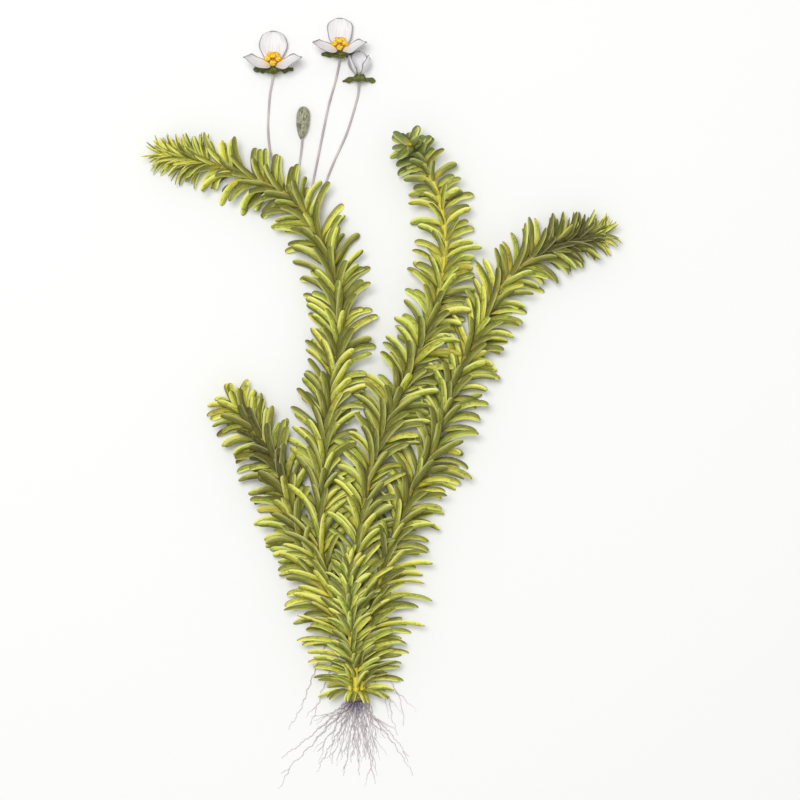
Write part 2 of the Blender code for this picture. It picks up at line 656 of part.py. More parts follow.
def is_inside_out(points, faces):
    """Whether the space just behind any of a leaf's faces isn't inside it, as where it is twisted over."""
    closed = faces + LEAF_BASE
    for face in closed:
        a, b, c = [points[index] for index in face]
        behind = (a + b + c) / 3 - (b - a).cross(c - a).normalized() * BEHIND
        if abs(times_round(behind, points, closed) - 1.0) > 0.5:
            return True
    return False


def grow_leaf(seed, base, frame, azimuth, habit, taken, earlier):
    """The first leaf from this base that finds free room, or None where there is none.

    Its own shape keeps clear of the other pieces and of its shoot's earlier leaves, and a swollen one,
    which starts a little off the stem, also of its own stem and of the leaves beside it.
    """
    foot = (base[0] + base[1] + base[2] + base[3]) / 4
    own = seed.split()[0]
    others = [shape for owner, shapes in taken.items() if owner != own for shape in shapes]
    for attempt in range(LEAF_ATTEMPTS):
        line, width = leaf_line(frame, foot, azimuth, habit, seed, attempt)
        solid = leaf_solid(base, line, width)
        if crosses_itself(*solid) or is_inside_out(*solid) or not is_free(*solid, others + earlier):
            continue
        if is_free(*swollen_leaf(line, width), others + taken[own]):
            return solid
    return None


def stem_shape(route):
    """A plain round tube in place of a stem, to keep leaves clear of it."""
    points = []
    faces = []
    length = (len(route) - 1) * ROUTE_STEP
    rings = int((length - FIRST_WHORL) / STEM_SHAPE_STEP)
    for ring in range(rings):
        distance = FIRST_WHORL + ring * STEM_SHAPE_STEP
        frame = frame_on(route, distance)
        radius = stem_radius(distance / length)
        points += ring_points(frame, radius, 0.0, 0.0) + ring_points(frame, radius, 45.0, 0.0)
    for ring in range(rings - 1):
        first = ring * 8
        for corner in range(4):
            for here, there in ((corner, corner + 4), (corner + 4, (corner + 1) % 4)):
                faces.append((first + here, first + there, first + 8 + there, first + 8 + here))
    return points, faces


def build_crown():
    """The rootstock, a lumpy short cylinder that lies on the surface."""
    chance = random.Random("crown")
    points = []
    faces = []
    for ring in range(CROWN_RINGS):
        share = ring / (CROWN_RINGS - 1)
        radius = CROWN_RADIUS + (CROWN_FOOT_RADIUS - CROWN_RADIUS) * share
        centre = Vector((CROWN_X, CROWN_TOP - CROWN_LENGTH * share, radius))
        swell = 1.0 if ring in (0, CROWN_RINGS - 1) else 1.0 + CROWN_SWELL
        for corner in range(CROWN_SIDES):
            around = 2 * math.pi * corner / CROWN_SIDES
            reach = radius * swell * (1.0 - CROWN_LUMP * chance.random())
            place = centre + Vector((math.cos(around), 0.0, math.sin(around))) * reach
            points.append(above(place, 0.0))
    for ring in range(CROWN_RINGS - 1):
        first = ring * CROWN_SIDES
        for corner in range(CROWN_SIDES):
            after = (corner + 1) % CROWN_SIDES
            faces.append((first + corner, first + after,
                          first + CROWN_SIDES + after, first + CROWN_SIDES + corner))
    faces.append(tuple(range(CROWN_SIDES)))
    faces.append(tuple(range((CROWN_RINGS - 1) * CROWN_SIDES, CROWN_RINGS * CROWN_SIDES)))
    return add_solid("crown", points, faces, "crown")


def root_points(index):
    """The route of a root from the crown's foot down to the surface and out to its tip."""
    chance = random.Random(f"root {index}")
    height, half_width, landing = ROOT_ROWS[index % len(ROOT_ROWS)]
    share = index / (len(ROOT_TIPS) - 1)
    foot_y = CROWN_TOP - CROWN_LENGTH - GAP
    start = Vector((CROWN_X + (2 * share - 1) * half_width, foot_y, 0.0))
    tip = Vector((*ROOT_TIPS[index], 0.0)) * MM
    reach = (tip - start).length
    sideways = (tip - start).normalized().cross(UP)
    phase = chance.uniform(0.0, 2 * math.pi)
    points = []
    for step in range(ROOT_POINTS):
        part = step / (ROOT_POINTS - 1)
        place = start.lerp(tip, part)
        place += sideways * (ROOT_WAVE * part * math.sin(phase + ROOT_WAVE_TURN * part))
        down = min(part * reach / landing, 1.0)
        place.z = height + (ROOT_RADIUS - height) * (down * down * (3 - 2 * down))
        points.append(place)
    return points


def build_roots():
    """The tuft of roots below the crown and the few that leave the stems above it."""
    for index in range(len(ROOT_TIPS)):
        add_tube(f"root_{index + 1:02d}", root_points(index), root_radii(ROOT_POINTS), "root")
    for index, route in enumerate(STEM_ROOT_ROUTES):
        points = [Vector(point) * MM for point in route]
        add_tube(f"stem_root_{index + 1}", points, root_radii(len(points)), "root")


def root_radii(count):
    """Radii along a root, thinning to its tip."""
    return [ROOT_RADIUS + (ROOT_TIP_RADIUS - ROOT_RADIUS) * step / (count - 1) for step in range(count)]


def stalk_points(route_mm, stem_route):
    """A stalk's route, with a last point just off the side of the stem next to it."""
    points = [Vector(point) * MM for point in route_mm]
    nearest = min(stem_route, key=lambda point: (point - points[-1]).length)
    away = (points[-1] - nearest).normalized()
    points.append(nearest + away * (STEM_RADIUS + GAP + STALK_RADIUS * 0.5))
    return points


def build_stalks():
    """The three flower stalks and the bud's, down to the left shoot."""
    stem_route = smooth_route(LEFT_TALL_ROUTE)
    for name, route_mm in STALKS:
        points = stalk_points(route_mm, stem_route)
        add_tube(name, points, [STALK_RADIUS] * len(points), "stalk")


def flower_frame(place_mm, tilt):
    """A flower's middle point, its axis, its right-hand direction and its upper side."""
    lean = math.radians(tilt)
    axis = Vector((0.0, math.cos(lean), math.sin(lean)))
    side = Vector((1.0, 0.0, 0.0))
    return Vector(place_mm) * MM, axis, side, side.cross(axis)


def round_axis(frame, turn):
    """The directions out from a flower's axis and across it, at a turn from its lowest side."""
    _, _, side, upper = frame
    around = math.radians(turn)
    outward = side * math.sin(around) - upper * math.cos(around)
    return outward, side * math.cos(around) + upper * math.sin(around)


def petal_grid(frame, turn, lean_foot, lean_tip, roll, broad, scale):
    """Rows of points over a cupped petal, with the direction of its inner face at each."""
    centre, axis, _, _ = frame
    outward, level = round_axis(frame, turn)
    roll = math.radians(math.copysign(roll, turn))
    place = centre + outward * PETAL_FOOT + axis * PETAL_RISE
    step = PETAL_LENGTH * scale / (PETAL_ROWS - 1)
    grid = []
    for row in range(PETAL_ROWS):
        share = row / (PETAL_ROWS - 1)
        lean = math.radians(lean_foot + (lean_tip - lean_foot) * share)
        inner = axis * math.sin(lean) - outward * math.cos(lean)
        across = level * math.cos(roll) - inner * math.sin(roll)
        inner = inner * math.cos(roll) + level * math.sin(roll)
        width = PETAL_WIDTH * scale * broad * petal_width(share)
        cells = []
        for column in range(PETAL_COLUMNS + 1):
            offset = 2 * column / PETAL_COLUMNS - 1
            cup = PETAL_CUP * width * offset * offset
            cells.append((place + across * (offset * width / 2) + inner * cup, inner))
        grid.append(cells)
        middle_lean = math.radians(lean_foot + (lean_tip - lean_foot) * (share + 0.5 / (PETAL_ROWS - 1)))
        place = place + (axis * math.cos(middle_lean) + outward * math.sin(middle_lean)) * step
    return grid


def petal_width(share):
    """A petal's width along its length: a narrow foot, a full round middle, a blunt tip."""
    swell = math.sin(math.pi * PETAL_FULL_TURN * share ** PETAL_DELAY) ** PETAL_BLUNTNESS
    return PETAL_FOOT_WIDTH + (1.0 - PETAL_FOOT_WIDTH) * swell


def build_petal(name, frame, shape, scale):
    """A petal as a thin closed shell, flattened where it would be under the surface."""
    grid = petal_grid(frame, *shape, scale)
    columns = PETAL_COLUMNS + 1
    inner = [above(point, PETAL_LEAST) for cells in grid for point, _ in cells]
    outer = [above(point - face * PETAL_THICKNESS, 0.0) for cells in grid for point, face in cells]
    points = inner + outer
    shift = len(inner)
    faces = []
    for row in range(PETAL_ROWS - 1):
        for column in range(PETAL_COLUMNS):
            a = row * columns + column
            faces.append((a, a + 1, a + columns + 1, a + columns))
            faces.append((shift + a, shift + a + columns, shift + a + columns + 1, shift + a + 1))
    rim = [row * columns for row in range(PETAL_ROWS)]
    rim += [(PETAL_ROWS - 1) * columns + column for column in range(1, columns)]
    rim += [row * columns + PETAL_COLUMNS for row in range(PETAL_ROWS - 2, -1, -1)]
    rim += [column for column in range(PETAL_COLUMNS - 1, 0, -1)]
    for here, there in zip(rim, rim[1:] + rim[:1]):
        faces.append((here, there, shift + there, shift + here))
    return add_solid(name, points, faces, "petal")


def build_sepals(name, frame, scale):
    """The flower's cup with its three sepals, which spread and rest on the surface."""
    centre, axis, _, _ = frame
    points = []
    faces = []
    for height, radius in CUP_RINGS:
        for corner in range(CUP_SIDES):
            outward, _ = round_axis(frame, CUP_TURN * (corner + 0.5))
            points.append(centre + axis * height + outward * radius)
    faces.append(tuple(range(CUP_SIDES)))
    faces.append(tuple(range(2 * CUP_SIDES, 3 * CUP_SIDES)))
    for corner in range(CUP_SIDES):
        after = (corner + 1) % CUP_SIDES
        faces.append((corner, after, CUP_SIDES + after, CUP_SIDES + corner))
    for corner in range(CUP_SIDES):
        after = (corner + 1) % CUP_SIDES
        base = [CUP_SIDES + corner, CUP_SIDES + after, 2 * CUP_SIDES + after, 2 * CUP_SIDES + corner]
        if corner not in SEPAL_SIDES:
            faces.append(tuple(base))
            continue
        outward, across = round_axis(frame, CUP_TURN * (corner + 1))
        corners = []
        for reach, rise, share in SEPAL_SECTIONS:
            middle = centre + outward * (CUP_RADIUS + SEPAL_LENGTH * scale * reach)
            middle = above(middle + axis * (SEPAL_LENGTH * rise - SEPAL_DROP), SEPAL_CLEAR)
            half = across * (SEPAL_WIDTH * scale * share / 2)
            section = [middle - half, middle + half]
            if not corners:
                section.append(middle - axis * SEPAL_KEEL)
            corners += lifted(section)
        grow_form(points, faces, base, corners)
    return add_solid(name, points, faces, "sepal")


def grow_form(points, faces, base, corners):
    """Add a leaf form that grows from a four-cornered face to a body's points and faces."""
    names = base + list(range(len(points), len(points) + len(corners)))
    points += corners
    form = leaf_faces([points[index] for index in names])
    faces += [tuple(names[index] for index in face) for face in form]


def build_stamens(name, frame, scale):
    """The flower's nine stamens, three whorls of three on one short core."""
    centre, axis, _, _ = frame
    foot = centre + axis * (CUP_RINGS[-1][0] + GAP)
    points = []
    faces = []
    below = None
    for whorl in range(STAMEN_WHORLS):
        level = STAMEN_WHORL_STEP * whorl
        turn = STAMEN_TURN / 2 * (whorl % 2)
        first = len(points)
        for height in (level, level + STAMEN_BAND):
            for corner in range(3):
                outward, _ = round_axis(frame, turn + STAMEN_TURN * corner)
                points.append(foot + axis * height + outward * STAMEN_CORE)
        if below is None:
            faces.append((first + 2, first + 1, first))
        else:
            lead = -1 if whorl % 2 else 0
            for corner in range(3):
                top = first + (corner + lead + 1) % 3
                before = first + (corner + lead) % 3
                faces.append((below + corner, top, before))
                faces.append((below + corner, below + (corner + 1) % 3, top))
        below = first + 3
        lean = math.radians(STAMEN_LEAN - STAMEN_LEAN_STEP * whorl)
        for corner in range(3):
            after = (corner + 1) % 3
            base = [first + corner, first + after, first + 3 + after, first + 3 + corner]
            outward, across = round_axis(frame, turn + STAMEN_TURN * (corner + 0.5))
            heading = axis * math.cos(lean) + outward * math.sin(lean)
            start = foot + axis * (level + STAMEN_BAND / 2) + outward * (STAMEN_CORE / 2)
            corners = []
            for reach, share in STAMEN_SECTIONS:
                middle = start + heading * (STAMEN_LENGTH * scale * reach)
                half = across * (STAMEN_WIDTH * share / 2)
                corners += [middle - half, middle + half]
                if len(corners) == 2:
                    keel = outward * math.cos(lean) - axis * math.sin(lean)
                    corners.append(middle + keel * STAMEN_KEEL)
            grow_form(points, faces, base, corners)
    faces.append((below, below + 1, below + 2))
    return add_solid(name, points, faces, "stamen")


def build_flowers():
    """Two open flowers and one half closed."""
    for name, place, scale, tilt, petals, petal_scale, has_stamens in FLOWERS:
        frame = flower_frame(place, tilt)
        build_sepals(f"{name}_sepals", frame, scale)
        for ending, *shape in petals:
            build_petal(f"{name}_{ending}", frame, shape, petal_scale)
        if has_stamens:
            build_stamens(f"{name}_stamens", frame, scale)


def build_bud():
    """The flower bud, a spindle that lies on the surface."""
    points = []
    faces = []
    for ring in range(BUD_RINGS):
        share = ring / (BUD_RINGS - 1)
        phase = BUD_SWELL_SPAN[0] + (BUD_SWELL_SPAN[1] - BUD_SWELL_SPAN[0]) * share
        swell = math.sin(math.pi * phase) ** BUD_BLUNTNESS
        radius = BUD_RADIUS * (BUD_END_SHARE + (1.0 - BUD_END_SHARE) * swell)
        for corner in range(BUD_SIDES):
            around = 2 * math.pi * corner / BUD_SIDES
            points.append(Vector((BUD_FOOT[0] + math.cos(around) * radius, BUD_FOOT[1] + BUD_LENGTH * share,
                                  BUD_RADIUS + math.sin(around) * radius)))
    for ring in range(BUD_RINGS - 1):
        first = ring * BUD_SIDES
        for corner in range(BUD_SIDES):
            after = (corner + 1) % BUD_SIDES
            above_after = first + BUD_SIDES + after
            faces.append((first + corner, first + after, above_after, first + BUD_SIDES + corner))
    faces.append(tuple(range(BUD_SIDES)))
    faces.append(tuple(range((BUD_RINGS - 1) * BUD_SIDES, BUD_RINGS * BUD_SIDES)))
    return add_solid("flower_bud", points, faces, "bud")


def shapes_in_scene():
    """The pieces made so far, as shapes that leaves keep clear of."""
    depsgraph = bpy.context.evaluated_depsgraph_get()
    shapes = []
    for thing in bpy.context.scene.objects:
        mesh = thing.evaluated_get(depsgraph).to_mesh()
        points = [vertex.co.copy() for vertex in mesh.vertices]
        faces = [tuple(face.vertices) for face in mesh.polygons]
        take_room(points, faces, shapes)
        thing.evaluated_get(depsgraph).to_mesh_clear()
    return shapes


def build_shoots():
    """All shoots. Every leaf keeps clear of the pieces, stems and leaves that are there before it."""
    taken = {"pieces": shapes_in_scene()}
    for name, route_mm, _ in SHOOTS:
        taken[name] = []
        take_room(*stem_shape(smooth_route(route_mm)), taken[name])
    for name, route_mm, habit in SHOOTS:
        points, faces = build_shoot(name, route_mm, habit, taken)
        add_solid(name, points, faces, "young_leaf" if name == "shoot_young" else "leaf")


def main():
    clear_scene()
    build_crown()
    build_roots()
    build_stalks()
    build_flowers()
    build_bud()
    build_shoots()


main()
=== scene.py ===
# The looks of a brazilian waterweed laid flat on a pale floor. Lengths are in metres, the frame is the
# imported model's: +Z up off the floor, +Y along the plant from its roots to its flowers. The routes and
# tables are the ones that the solids were made from, and the fine leaves follow the same lines.

import math
import random
from collections import namedtuple

import bpy
import numpy as np
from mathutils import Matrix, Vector, kdtree, noise
from mathutils.bvhtree import BVHTree


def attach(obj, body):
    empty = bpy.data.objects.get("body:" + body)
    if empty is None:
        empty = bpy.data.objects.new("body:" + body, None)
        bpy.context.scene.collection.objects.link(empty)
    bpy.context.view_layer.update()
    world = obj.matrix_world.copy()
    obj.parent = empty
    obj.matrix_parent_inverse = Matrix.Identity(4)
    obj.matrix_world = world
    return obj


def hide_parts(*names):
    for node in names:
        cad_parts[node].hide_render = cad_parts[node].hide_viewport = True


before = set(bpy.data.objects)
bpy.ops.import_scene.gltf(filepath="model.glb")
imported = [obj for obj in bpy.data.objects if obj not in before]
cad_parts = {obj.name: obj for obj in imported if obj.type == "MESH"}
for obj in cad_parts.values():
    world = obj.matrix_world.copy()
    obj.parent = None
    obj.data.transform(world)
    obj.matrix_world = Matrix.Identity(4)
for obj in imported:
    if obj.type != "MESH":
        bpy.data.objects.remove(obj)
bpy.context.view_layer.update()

MM = 0.001
UP = Vector((0.0, 0.0, 1.0))
RIGHT = Vector((1.0, 0.0, 0.0))
STEEP = 0.9                     # a path that rises more than this has its side taken from RIGHT
GAP = 0.3 * MM

# Leaves and stems, as in the solids
SURFACE_CLEAR = 0.35 * MM       # height of a leaf's middle line where it lies on the floor
STEM_RADIUS = 1.25 * MM
STEM_TIP_RADIUS = 0.55 * MM
STEM_TAPER_SHARE = 0.86
WHORL_BAND = 1.0 * MM
WHORL_OFFSET = 22.5
WHORL_LEAVES = 4
LEAF_STEPS = 12
LEAF_TIP_SHARE = 0.55
LEAF_BEND_POWER = 1.2
UPPER_START_EASE = 0.30
UPPER_END_EASE = 0.42
UPPER_SAG = 16.0
LENGTH_RANGE = (0.88, 1.08)
WIDTH_RANGE = (0.9, 1.08)
AZIMUTH_SWAY = 9.0
START_SWAY = 6.0
END_SWAY = 11.0
SWEEP_SWAY = 12.0
FACE_TURN_RANGE = (0.5, 0.95)
FACE_TURN_STRETCH = 0.3
SURFACE_TURN = 0.5
SURFACE_BEND = 9.0
LEAF_ATTEMPTS = 16
ATTEMPT_SPREAD = 0.25
ATTEMPT_SHRINK = 0.03
FIRST_WHORL = 2.0 * MM
ROUTE_STEP = 0.5 * MM
CURVE_CUTS = 24
TANGENT_REACH = 2.0 * MM
SAME_POINT = 0.05 * MM          # a leaf's tip corners lie this near to the solid's

# Leaves between the whorls, which the solids don't have: their azimuth and the share of them that grows
BETWEEN_LEAVES = [
    (5.0, 0.9), (50.0, 0.45), (90.0, 0.6), (130.0, 0.45), (175.0, 0.9), (-20.0, 0.7), (200.0, 0.7)]
BETWEEN_LENGTH = (0.66, 1.1)
BASE_LENGTHENING = 0.42         # how much longer such leaves are at the shoots' feet
BASE_SHARE = 0.30               # the share of a shoot over which that fades
TUFT_LENGTH = (0.85, 1.1)
SIDE_THINNING = 0.75            # how far an open stem thins out the side leaves, beside the front ones
OPEN_NARROWING = 0.5            # how much narrower the front leaves are where the stem is open to view
BETWEEN_ATTEMPTS = 5
BETWEEN_START = 3               # the step from which such a leaf has to keep clear of the others

# The routes of the shoots from the crown to the tip: x, y and height, in millimetres
LEFT_TALL_ROUTE = [
    (-15.3, -130.7, 5.8), (-15.5, -123.0, 6.0), (-16.6, -114.5, 7.8), (-19.2, -101.7, 9.0),
    (-23.0, -88.0, 9.0), (-27.0, -74.0, 9.0), (-29.2, -60.0, 8.6), (-28.4, -36.0, 8.0),
    (-26.6, -12.6, 7.0), (-22.1, 14.0, 6.5), (-20.2, 34.0, 6.5), (-22.9, 57.0, 6.5),
    (-27.0, 69.0, 6.5), (-32.4, 80.0, 6.5), (-39.2, 89.5, 6.5), (-48.6, 96.0, 6.5),
    (-60.0, 101.0, 6.3), (-73.0, 106.0, 6.0), (-87.0, 109.4, 5.6), (-98.8, 111.4, 5.0)]
LEFT_SHORT_ROUTE = [
    (-14.3, -130.7, 2.6), (-14.5, -123.0, 2.9), (-17.3, -112.0, 4.8), (-22.8, -95.0, 5.2),
    (-29.7, -81.0, 5.5), (-34.8, -71.0, 5.5), (-39.9, -55.0, 5.8), (-43.6, -42.0, 6.0),
    (-50.0, -25.0, 6.0), (-61.0, -9.5, 6.0), (-67.5, -0.5, 6.0)]
CENTRE_ROUTE = [
    (-9.9, -130.7, 5.8), (-10.0, -123.0, 6.1), (-11.6, -109.0, 8.6), (-11.8, -91.6, 9.0),
    (-11.8, -64.0, 9.0), (-8.8, -45.0, 8.5), (-3.4, -21.8, 8.0), (5.9, 1.4, 8.0),
    (15.2, 21.4, 8.0), (23.9, 45.5, 7.5), (27.6, 68.0, 7.5), (26.4, 84.0, 8.0),
    (23.2, 96.0, 8.5), (18.8, 105.5, 9.3), (14.8, 111.5, 11.6), (12.3, 114.6, 15.4),
    (11.7, 115.6, 18.4)]
RIGHT_ROUTE = [
    (-10.9, -130.7, 2.6), (-10.5, -123.0, 2.9), (-9.0, -112.0, 4.8), (-5.8, -95.0, 5.5),
    (-2.0, -81.5, 5.8), (1.8, -67.5, 6.0), (5.2, -58.0, 6.0), (14.0, -35.0, 6.0),
    (21.4, -23.4, 6.0), (30.7, 6.8, 6.0), (43.6, 34.3, 6.3), (54.0, 53.2, 6.5),
    (69.5, 67.0, 6.5), (84.0, 72.5, 6.2), (98.2, 75.8, 5.5)]
YOUNG_ROUTE = [
    (-12.6, -130.7, 7.9), (-12.7, -123.0, 8.6), (-14.0, -114.0, 12.0), (-15.0, -102.0, 13.5),
    (-15.8, -89.0, 13.8), (-15.5, -77.0, 13.2), (-16.5, -70.0, 12.5)]

# How the leaves of a shoot stand at shares of its length. Each row gives the share, the spacing of the
# whorls, the length and the width of a leaf in millimetres, and in degrees from the stem the lean with
# which a leaf starts and ends on the stem's left side, and then on its right side.
LEFT_TALL_HABIT = [
    (0.00, 5.5, 13.5, 2.5, 76, 126, 76, 126),
    (0.04, 5.8, 17.5, 2.9, 56, 96, 56, 96),
    (0.25, 7.2, 21.5, 3.2, 38, 72, 30, 90),
    (0.50, 7.2, 22.0, 3.2, 35, 66, 26, 95),
    (0.68, 7.2, 21.0, 3.3, 38, 82, 36, 82),
    (0.80, 6.6, 19.0, 3.4, 46, 106, 46, 84),
    (0.90, 5.5, 17.0, 3.4, 48, 112, 48, 82),
    (0.94, 4.2, 15.5, 2.5, 40, 85, 45, 75),
    (0.97, 3.1, 14.0, 2.0, 32, 70, 35, 72),
    (1.00, 2.1, 9.5, 1.7, 18, 50, 18, 50)]
LEFT_SHORT_HABIT = [
    (0.00, 5.5, 14.0, 2.5, 78, 128, 70, 110),
    (0.08, 6.0, 19.5, 2.9, 58, 98, 40, 76),
    (0.35, 6.3, 21.0, 3.2, 48, 102, 32, 66),
    (0.65, 6.0, 20.5, 3.3, 48, 112, 26, 54),
    (0.85, 5.4, 18.5, 3.4, 46, 110, 28, 58),
    (0.95, 3.6, 16.0, 3.2, 42, 92, 36, 72),
    (1.00, 2.2, 12.5, 3.3, 32, 76, 32, 76)]
CENTRE_HABIT = [
    (0.00, 5.5, 13.5, 2.5, 76, 126, 76, 126),
    (0.04, 6.0, 17.5, 2.9, 54, 96, 54, 96),
    (0.25, 7.2, 21.5, 3.2, 36, 82, 36, 86),
    (0.50, 7.2, 21.5, 3.2, 32, 96, 38, 92),
    (0.68, 7.2, 20.0, 3.3, 34, 98, 42, 98),
    (0.78, 7.2, 17.0, 3.6, 48, 102, 52, 102),
    (0.92, 6.6, 14.0, 4.0, 56, 106, 56, 106),
    (0.97, 3.6, 11.0, 4.2, 60, 100, 60, 100),
    (1.00, 2.6, 9.5, 4.2, 62, 94, 62, 94)]
RIGHT_HABIT = [
    (0.00, 5.5, 14.0, 2.5, 70, 110, 80, 128),
    (0.05, 6.0, 19.5, 2.9, 50, 88, 64, 102),
    (0.25, 7.2, 21.5, 3.1, 34, 74, 42, 104),
    (0.50, 7.2, 21.0, 3.1, 32, 74, 40, 108),
    (0.72, 7.2, 20.5, 3.1, 34, 72, 40, 104),
    (0.86, 6.0, 18.5, 3.0, 44, 78, 42, 98),
    (0.94, 3.3, 15.5, 2.5, 46, 82, 46, 84),
    (1.00, 2.1, 10.5, 2.0, 26, 60, 26, 60)]
YOUNG_HABIT = [
    (0.00, 4.6, 11.5, 2.4, 66, 104, 66, 104),
    (0.12, 4.8, 13.0, 2.6, 46, 84, 46, 84),
    (0.40, 4.8, 13.5, 2.7, 34, 74, 34, 74),
    (0.80, 4.2, 13.0, 2.7, 32, 68, 32, 68),
    (1.00, 2.0, 9.0, 2.2, 18, 46, 18, 46)]

# How a shoot's leaves look at shares of its length, as amounts from 0 to 1: dark, yellow, cool blue-green,
# brown, how pointed they are, and how far the leaves in front leave the stem open to view
LEFT_TALL_TONES = [
    (0.00, 0.05, 0.85, 0.00, 0.05, 0.3, 0.3),
    (0.20, 0.15, 0.60, 0.05, 0.10, 0.2, 0.1),
    (0.45, 0.35, 0.35, 0.00, 0.20, 0.1, 0.0),
    (0.75, 0.40, 0.30, 0.05, 0.15, 0.0, 0.3),
    (0.88, 0.45, 0.35, 0.05, 0.15, 0.1, 0.6),
    (0.945, 0.35, 0.65, 0.00, 0.15, 0.7, 0.5),
    (0.97, 0.10, 1.00, 0.00, 0.10, 1.0, 0.0),
    (1.00, 0.00, 1.00, 0.00, 0.00, 1.0, 0.0)]
LEFT_SHORT_TONES = [
    (0.00, 0.05, 0.85, 0.00, 0.05, 0.3, 0.3),
    (0.30, 0.05, 0.85, 0.05, 0.05, 0.2, 0.2),
    (0.60, 0.30, 0.45, 0.00, 0.45, 0.1, 0.0),
    (0.86, 0.35, 0.45, 0.00, 1.10, 0.1, 0.0),
    (0.92, 0.20, 0.75, 0.00, 0.90, 0.1, 0.0),
    (0.955, 0.00, 1.00, 0.00, 0.00, 0.2, 0.0),
    (1.00, 0.00, 1.00, 0.00, 0.00, 0.2, 0.0)]
CENTRE_TONES = [
    (0.00, 0.15, 0.70, 0.00, 0.10, 0.3, 0.3),
    (0.25, 0.35, 0.35, 0.10, 0.20, 0.2, 0.0),
    (0.60, 0.35, 0.35, 0.00, 0.20, 0.1, 0.0),
    (0.75, 0.30, 0.35, 0.20, 0.05, 0.1, 0.6),
    (0.90, 0.30, 0.30, 0.45, 0.00, 0.2, 1.0),
    (0.945, 0.40, 0.05, 0.80, 0.00, 0.3, 0.3),
    (1.00, 0.45, 0.00, 0.90, 0.00, 0.3, 0.0)]
RIGHT_TONES = [
    (0.00, 0.20, 0.60, 0.00, 0.15, 0.3, 0.3),
    (0.25, 0.35, 0.35, 0.00, 0.30, 0.2, 0.0),
    (0.55, 0.30, 0.40, 0.00, 0.20, 0.1, 0.0),
    (0.78, 0.35, 0.35, 0.00, 0.20, 0.2, 0.3),
    (0.86, 0.50, 0.25, 0.00, 0.90, 0.5, 0.2),
    (0.95, 0.60, 0.10, 0.00, 1.30, 0.8, 0.0),
    (0.975, 0.10, 0.90, 0.10, 0.00, 1.0, 0.0),
    (1.00, 0.00, 1.00, 0.10, 0.00, 1.0, 0.0)]
YOUNG_TONES = [
    (0.00, 0.15, 0.40, 0.20, 0.00, 0.3, 0.1),
    (1.00, 0.10, 0.45, 0.20, 0.00, 0.4, 0.0)]

# Fine leaves that make a shoot's tip a full brush: how many, over what length and how wide, and the length
# and the leans at foot and tip of the lowest and of the last
TUFTS = {
    "shoot_left_tall": (96, 20.0 * MM, 1.35, (13.0, 62, 104), (10.5, 32, 68)),
    "shoot_right": (64, 20.0 * MM, 1.5, (12.5, 58, 100), (10.0, 30, 64)),
    "shoot_centre": (10, 5.0 * MM, 3.4, (10.0, 72, 100), (7.5, 40, 74)),
    "shoot_left_short": (12, 10.0 * MM, 3.0, (12.0, 52, 92), (11.0, 26, 60))}
GOLDEN_ANGLE = 137.5

# A stem's tints along it: the share of its length and how yellow it is, from brown-olive to clear yellow
LEFT_TALL_STEM = [(0.0, 0.9), (0.12, 0.5), (0.25, 0.15), (0.6, 0.2), (0.85, 0.35), (1.0, 0.7)]
LEFT_SHORT_STEM = [(0.0, 0.9), (0.2, 0.7), (0.5, 0.45), (0.8, 0.05), (1.0, 0.6)]
CENTRE_STEM = [(0.0, 0.9), (0.15, 0.3), (0.6, 0.2), (0.76, 0.75), (0.95, 1.0), (1.0, 0.8)]
RIGHT_STEM = [(0.0, 0.8), (0.15, 0.2), (0.6, 0.25), (0.8, 0.45), (0.88, 0.1), (1.0, 0.4)]
YOUNG_STEM = [(0.0, 0.9), (1.0, 0.6)]

SHOOTS = [
    ("shoot_young", YOUNG_ROUTE, YOUNG_HABIT, YOUNG_TONES, YOUNG_STEM, "young_leaf"),
    ("shoot_centre", CENTRE_ROUTE, CENTRE_HABIT, CENTRE_TONES, CENTRE_STEM, "leaf"),
    ("shoot_right", RIGHT_ROUTE, RIGHT_HABIT, RIGHT_TONES, RIGHT_STEM, "leaf"),
    ("shoot_left_tall", LEFT_TALL_ROUTE, LEFT_TALL_HABIT, LEFT_TALL_TONES, LEFT_TALL_STEM, "leaf"),
    ("shoot_left_short", LEFT_SHORT_ROUTE, LEFT_SHORT_HABIT, LEFT_SHORT_TONES, LEFT_SHORT_STEM, "leaf")]

# Fine leaves. Their points lie at these shares of a leaf's length and of its half width.
STATIONS = (0.0, 0.05, 0.12, 0.20, 0.30, 0.42, 0.54, 0.66, 0.77, 0.86, 0.925, 0.965, 0.99)
COLUMNS = (-1.0, -0.78, -0.4, 0.0, 0.4, 0.78, 1.0)
FOOT_WIDTH = 0.62               # share of the full width at a leaf's foot
FOOT_STRETCH = 0.25
FINE_WIDTH = 0.93
LEAF_THICKNESS = 0.14 * MM
LEAF_CHANNEL = 0.24             # how far a leaf's edges stand up, as a share of its half width
FOLD_SHARPNESS = 1.25           # 1 folds a blade at its midrib, 2 makes it a round gutter
CHANNEL_RANGE = (0.3, 1.5)
LEAF_RIPPLE = 0.16 * MM
RIPPLE_RANGE = (0.3, 1.0)
RIPPLE_WAVES = (1.2, 2.4)       # waves along a leaf
RIPPLE_SLANT = 1.5
RIPPLE_ONSET = 4.0              # how fast the ripple grows from a leaf's foot
FOOT_THICKNESS = 1.25
TIP_THINNING = 0.6
UPPER_BULGE = 0.15              # how a blade's thickness is shared out
MIDRIB_KEEL = 1.6
BLADE_KEEL = 0.85
LEAF_END_START = 0.88           # where a round leaf's end starts to close
LEAF_POINT_START = 0.50         # how much sooner a pointed one's does
LEAF_END_ROUNDING = 2.2
LEAF_POINT_ROUNDING = 0.6
LOWER_NARROWING = 0.5           # leaves are narrower on the lower half of a shoot
LOWER_SHARE = 0.5
LOWER_MOST = 0.4
UV_COLUMNS = 24
UV_LEAF_TOP = 0.93              # the stem's strip lies above this in the texture
UV_MARGIN = 0.08
UV_CORNER = (0.02, 0.02)
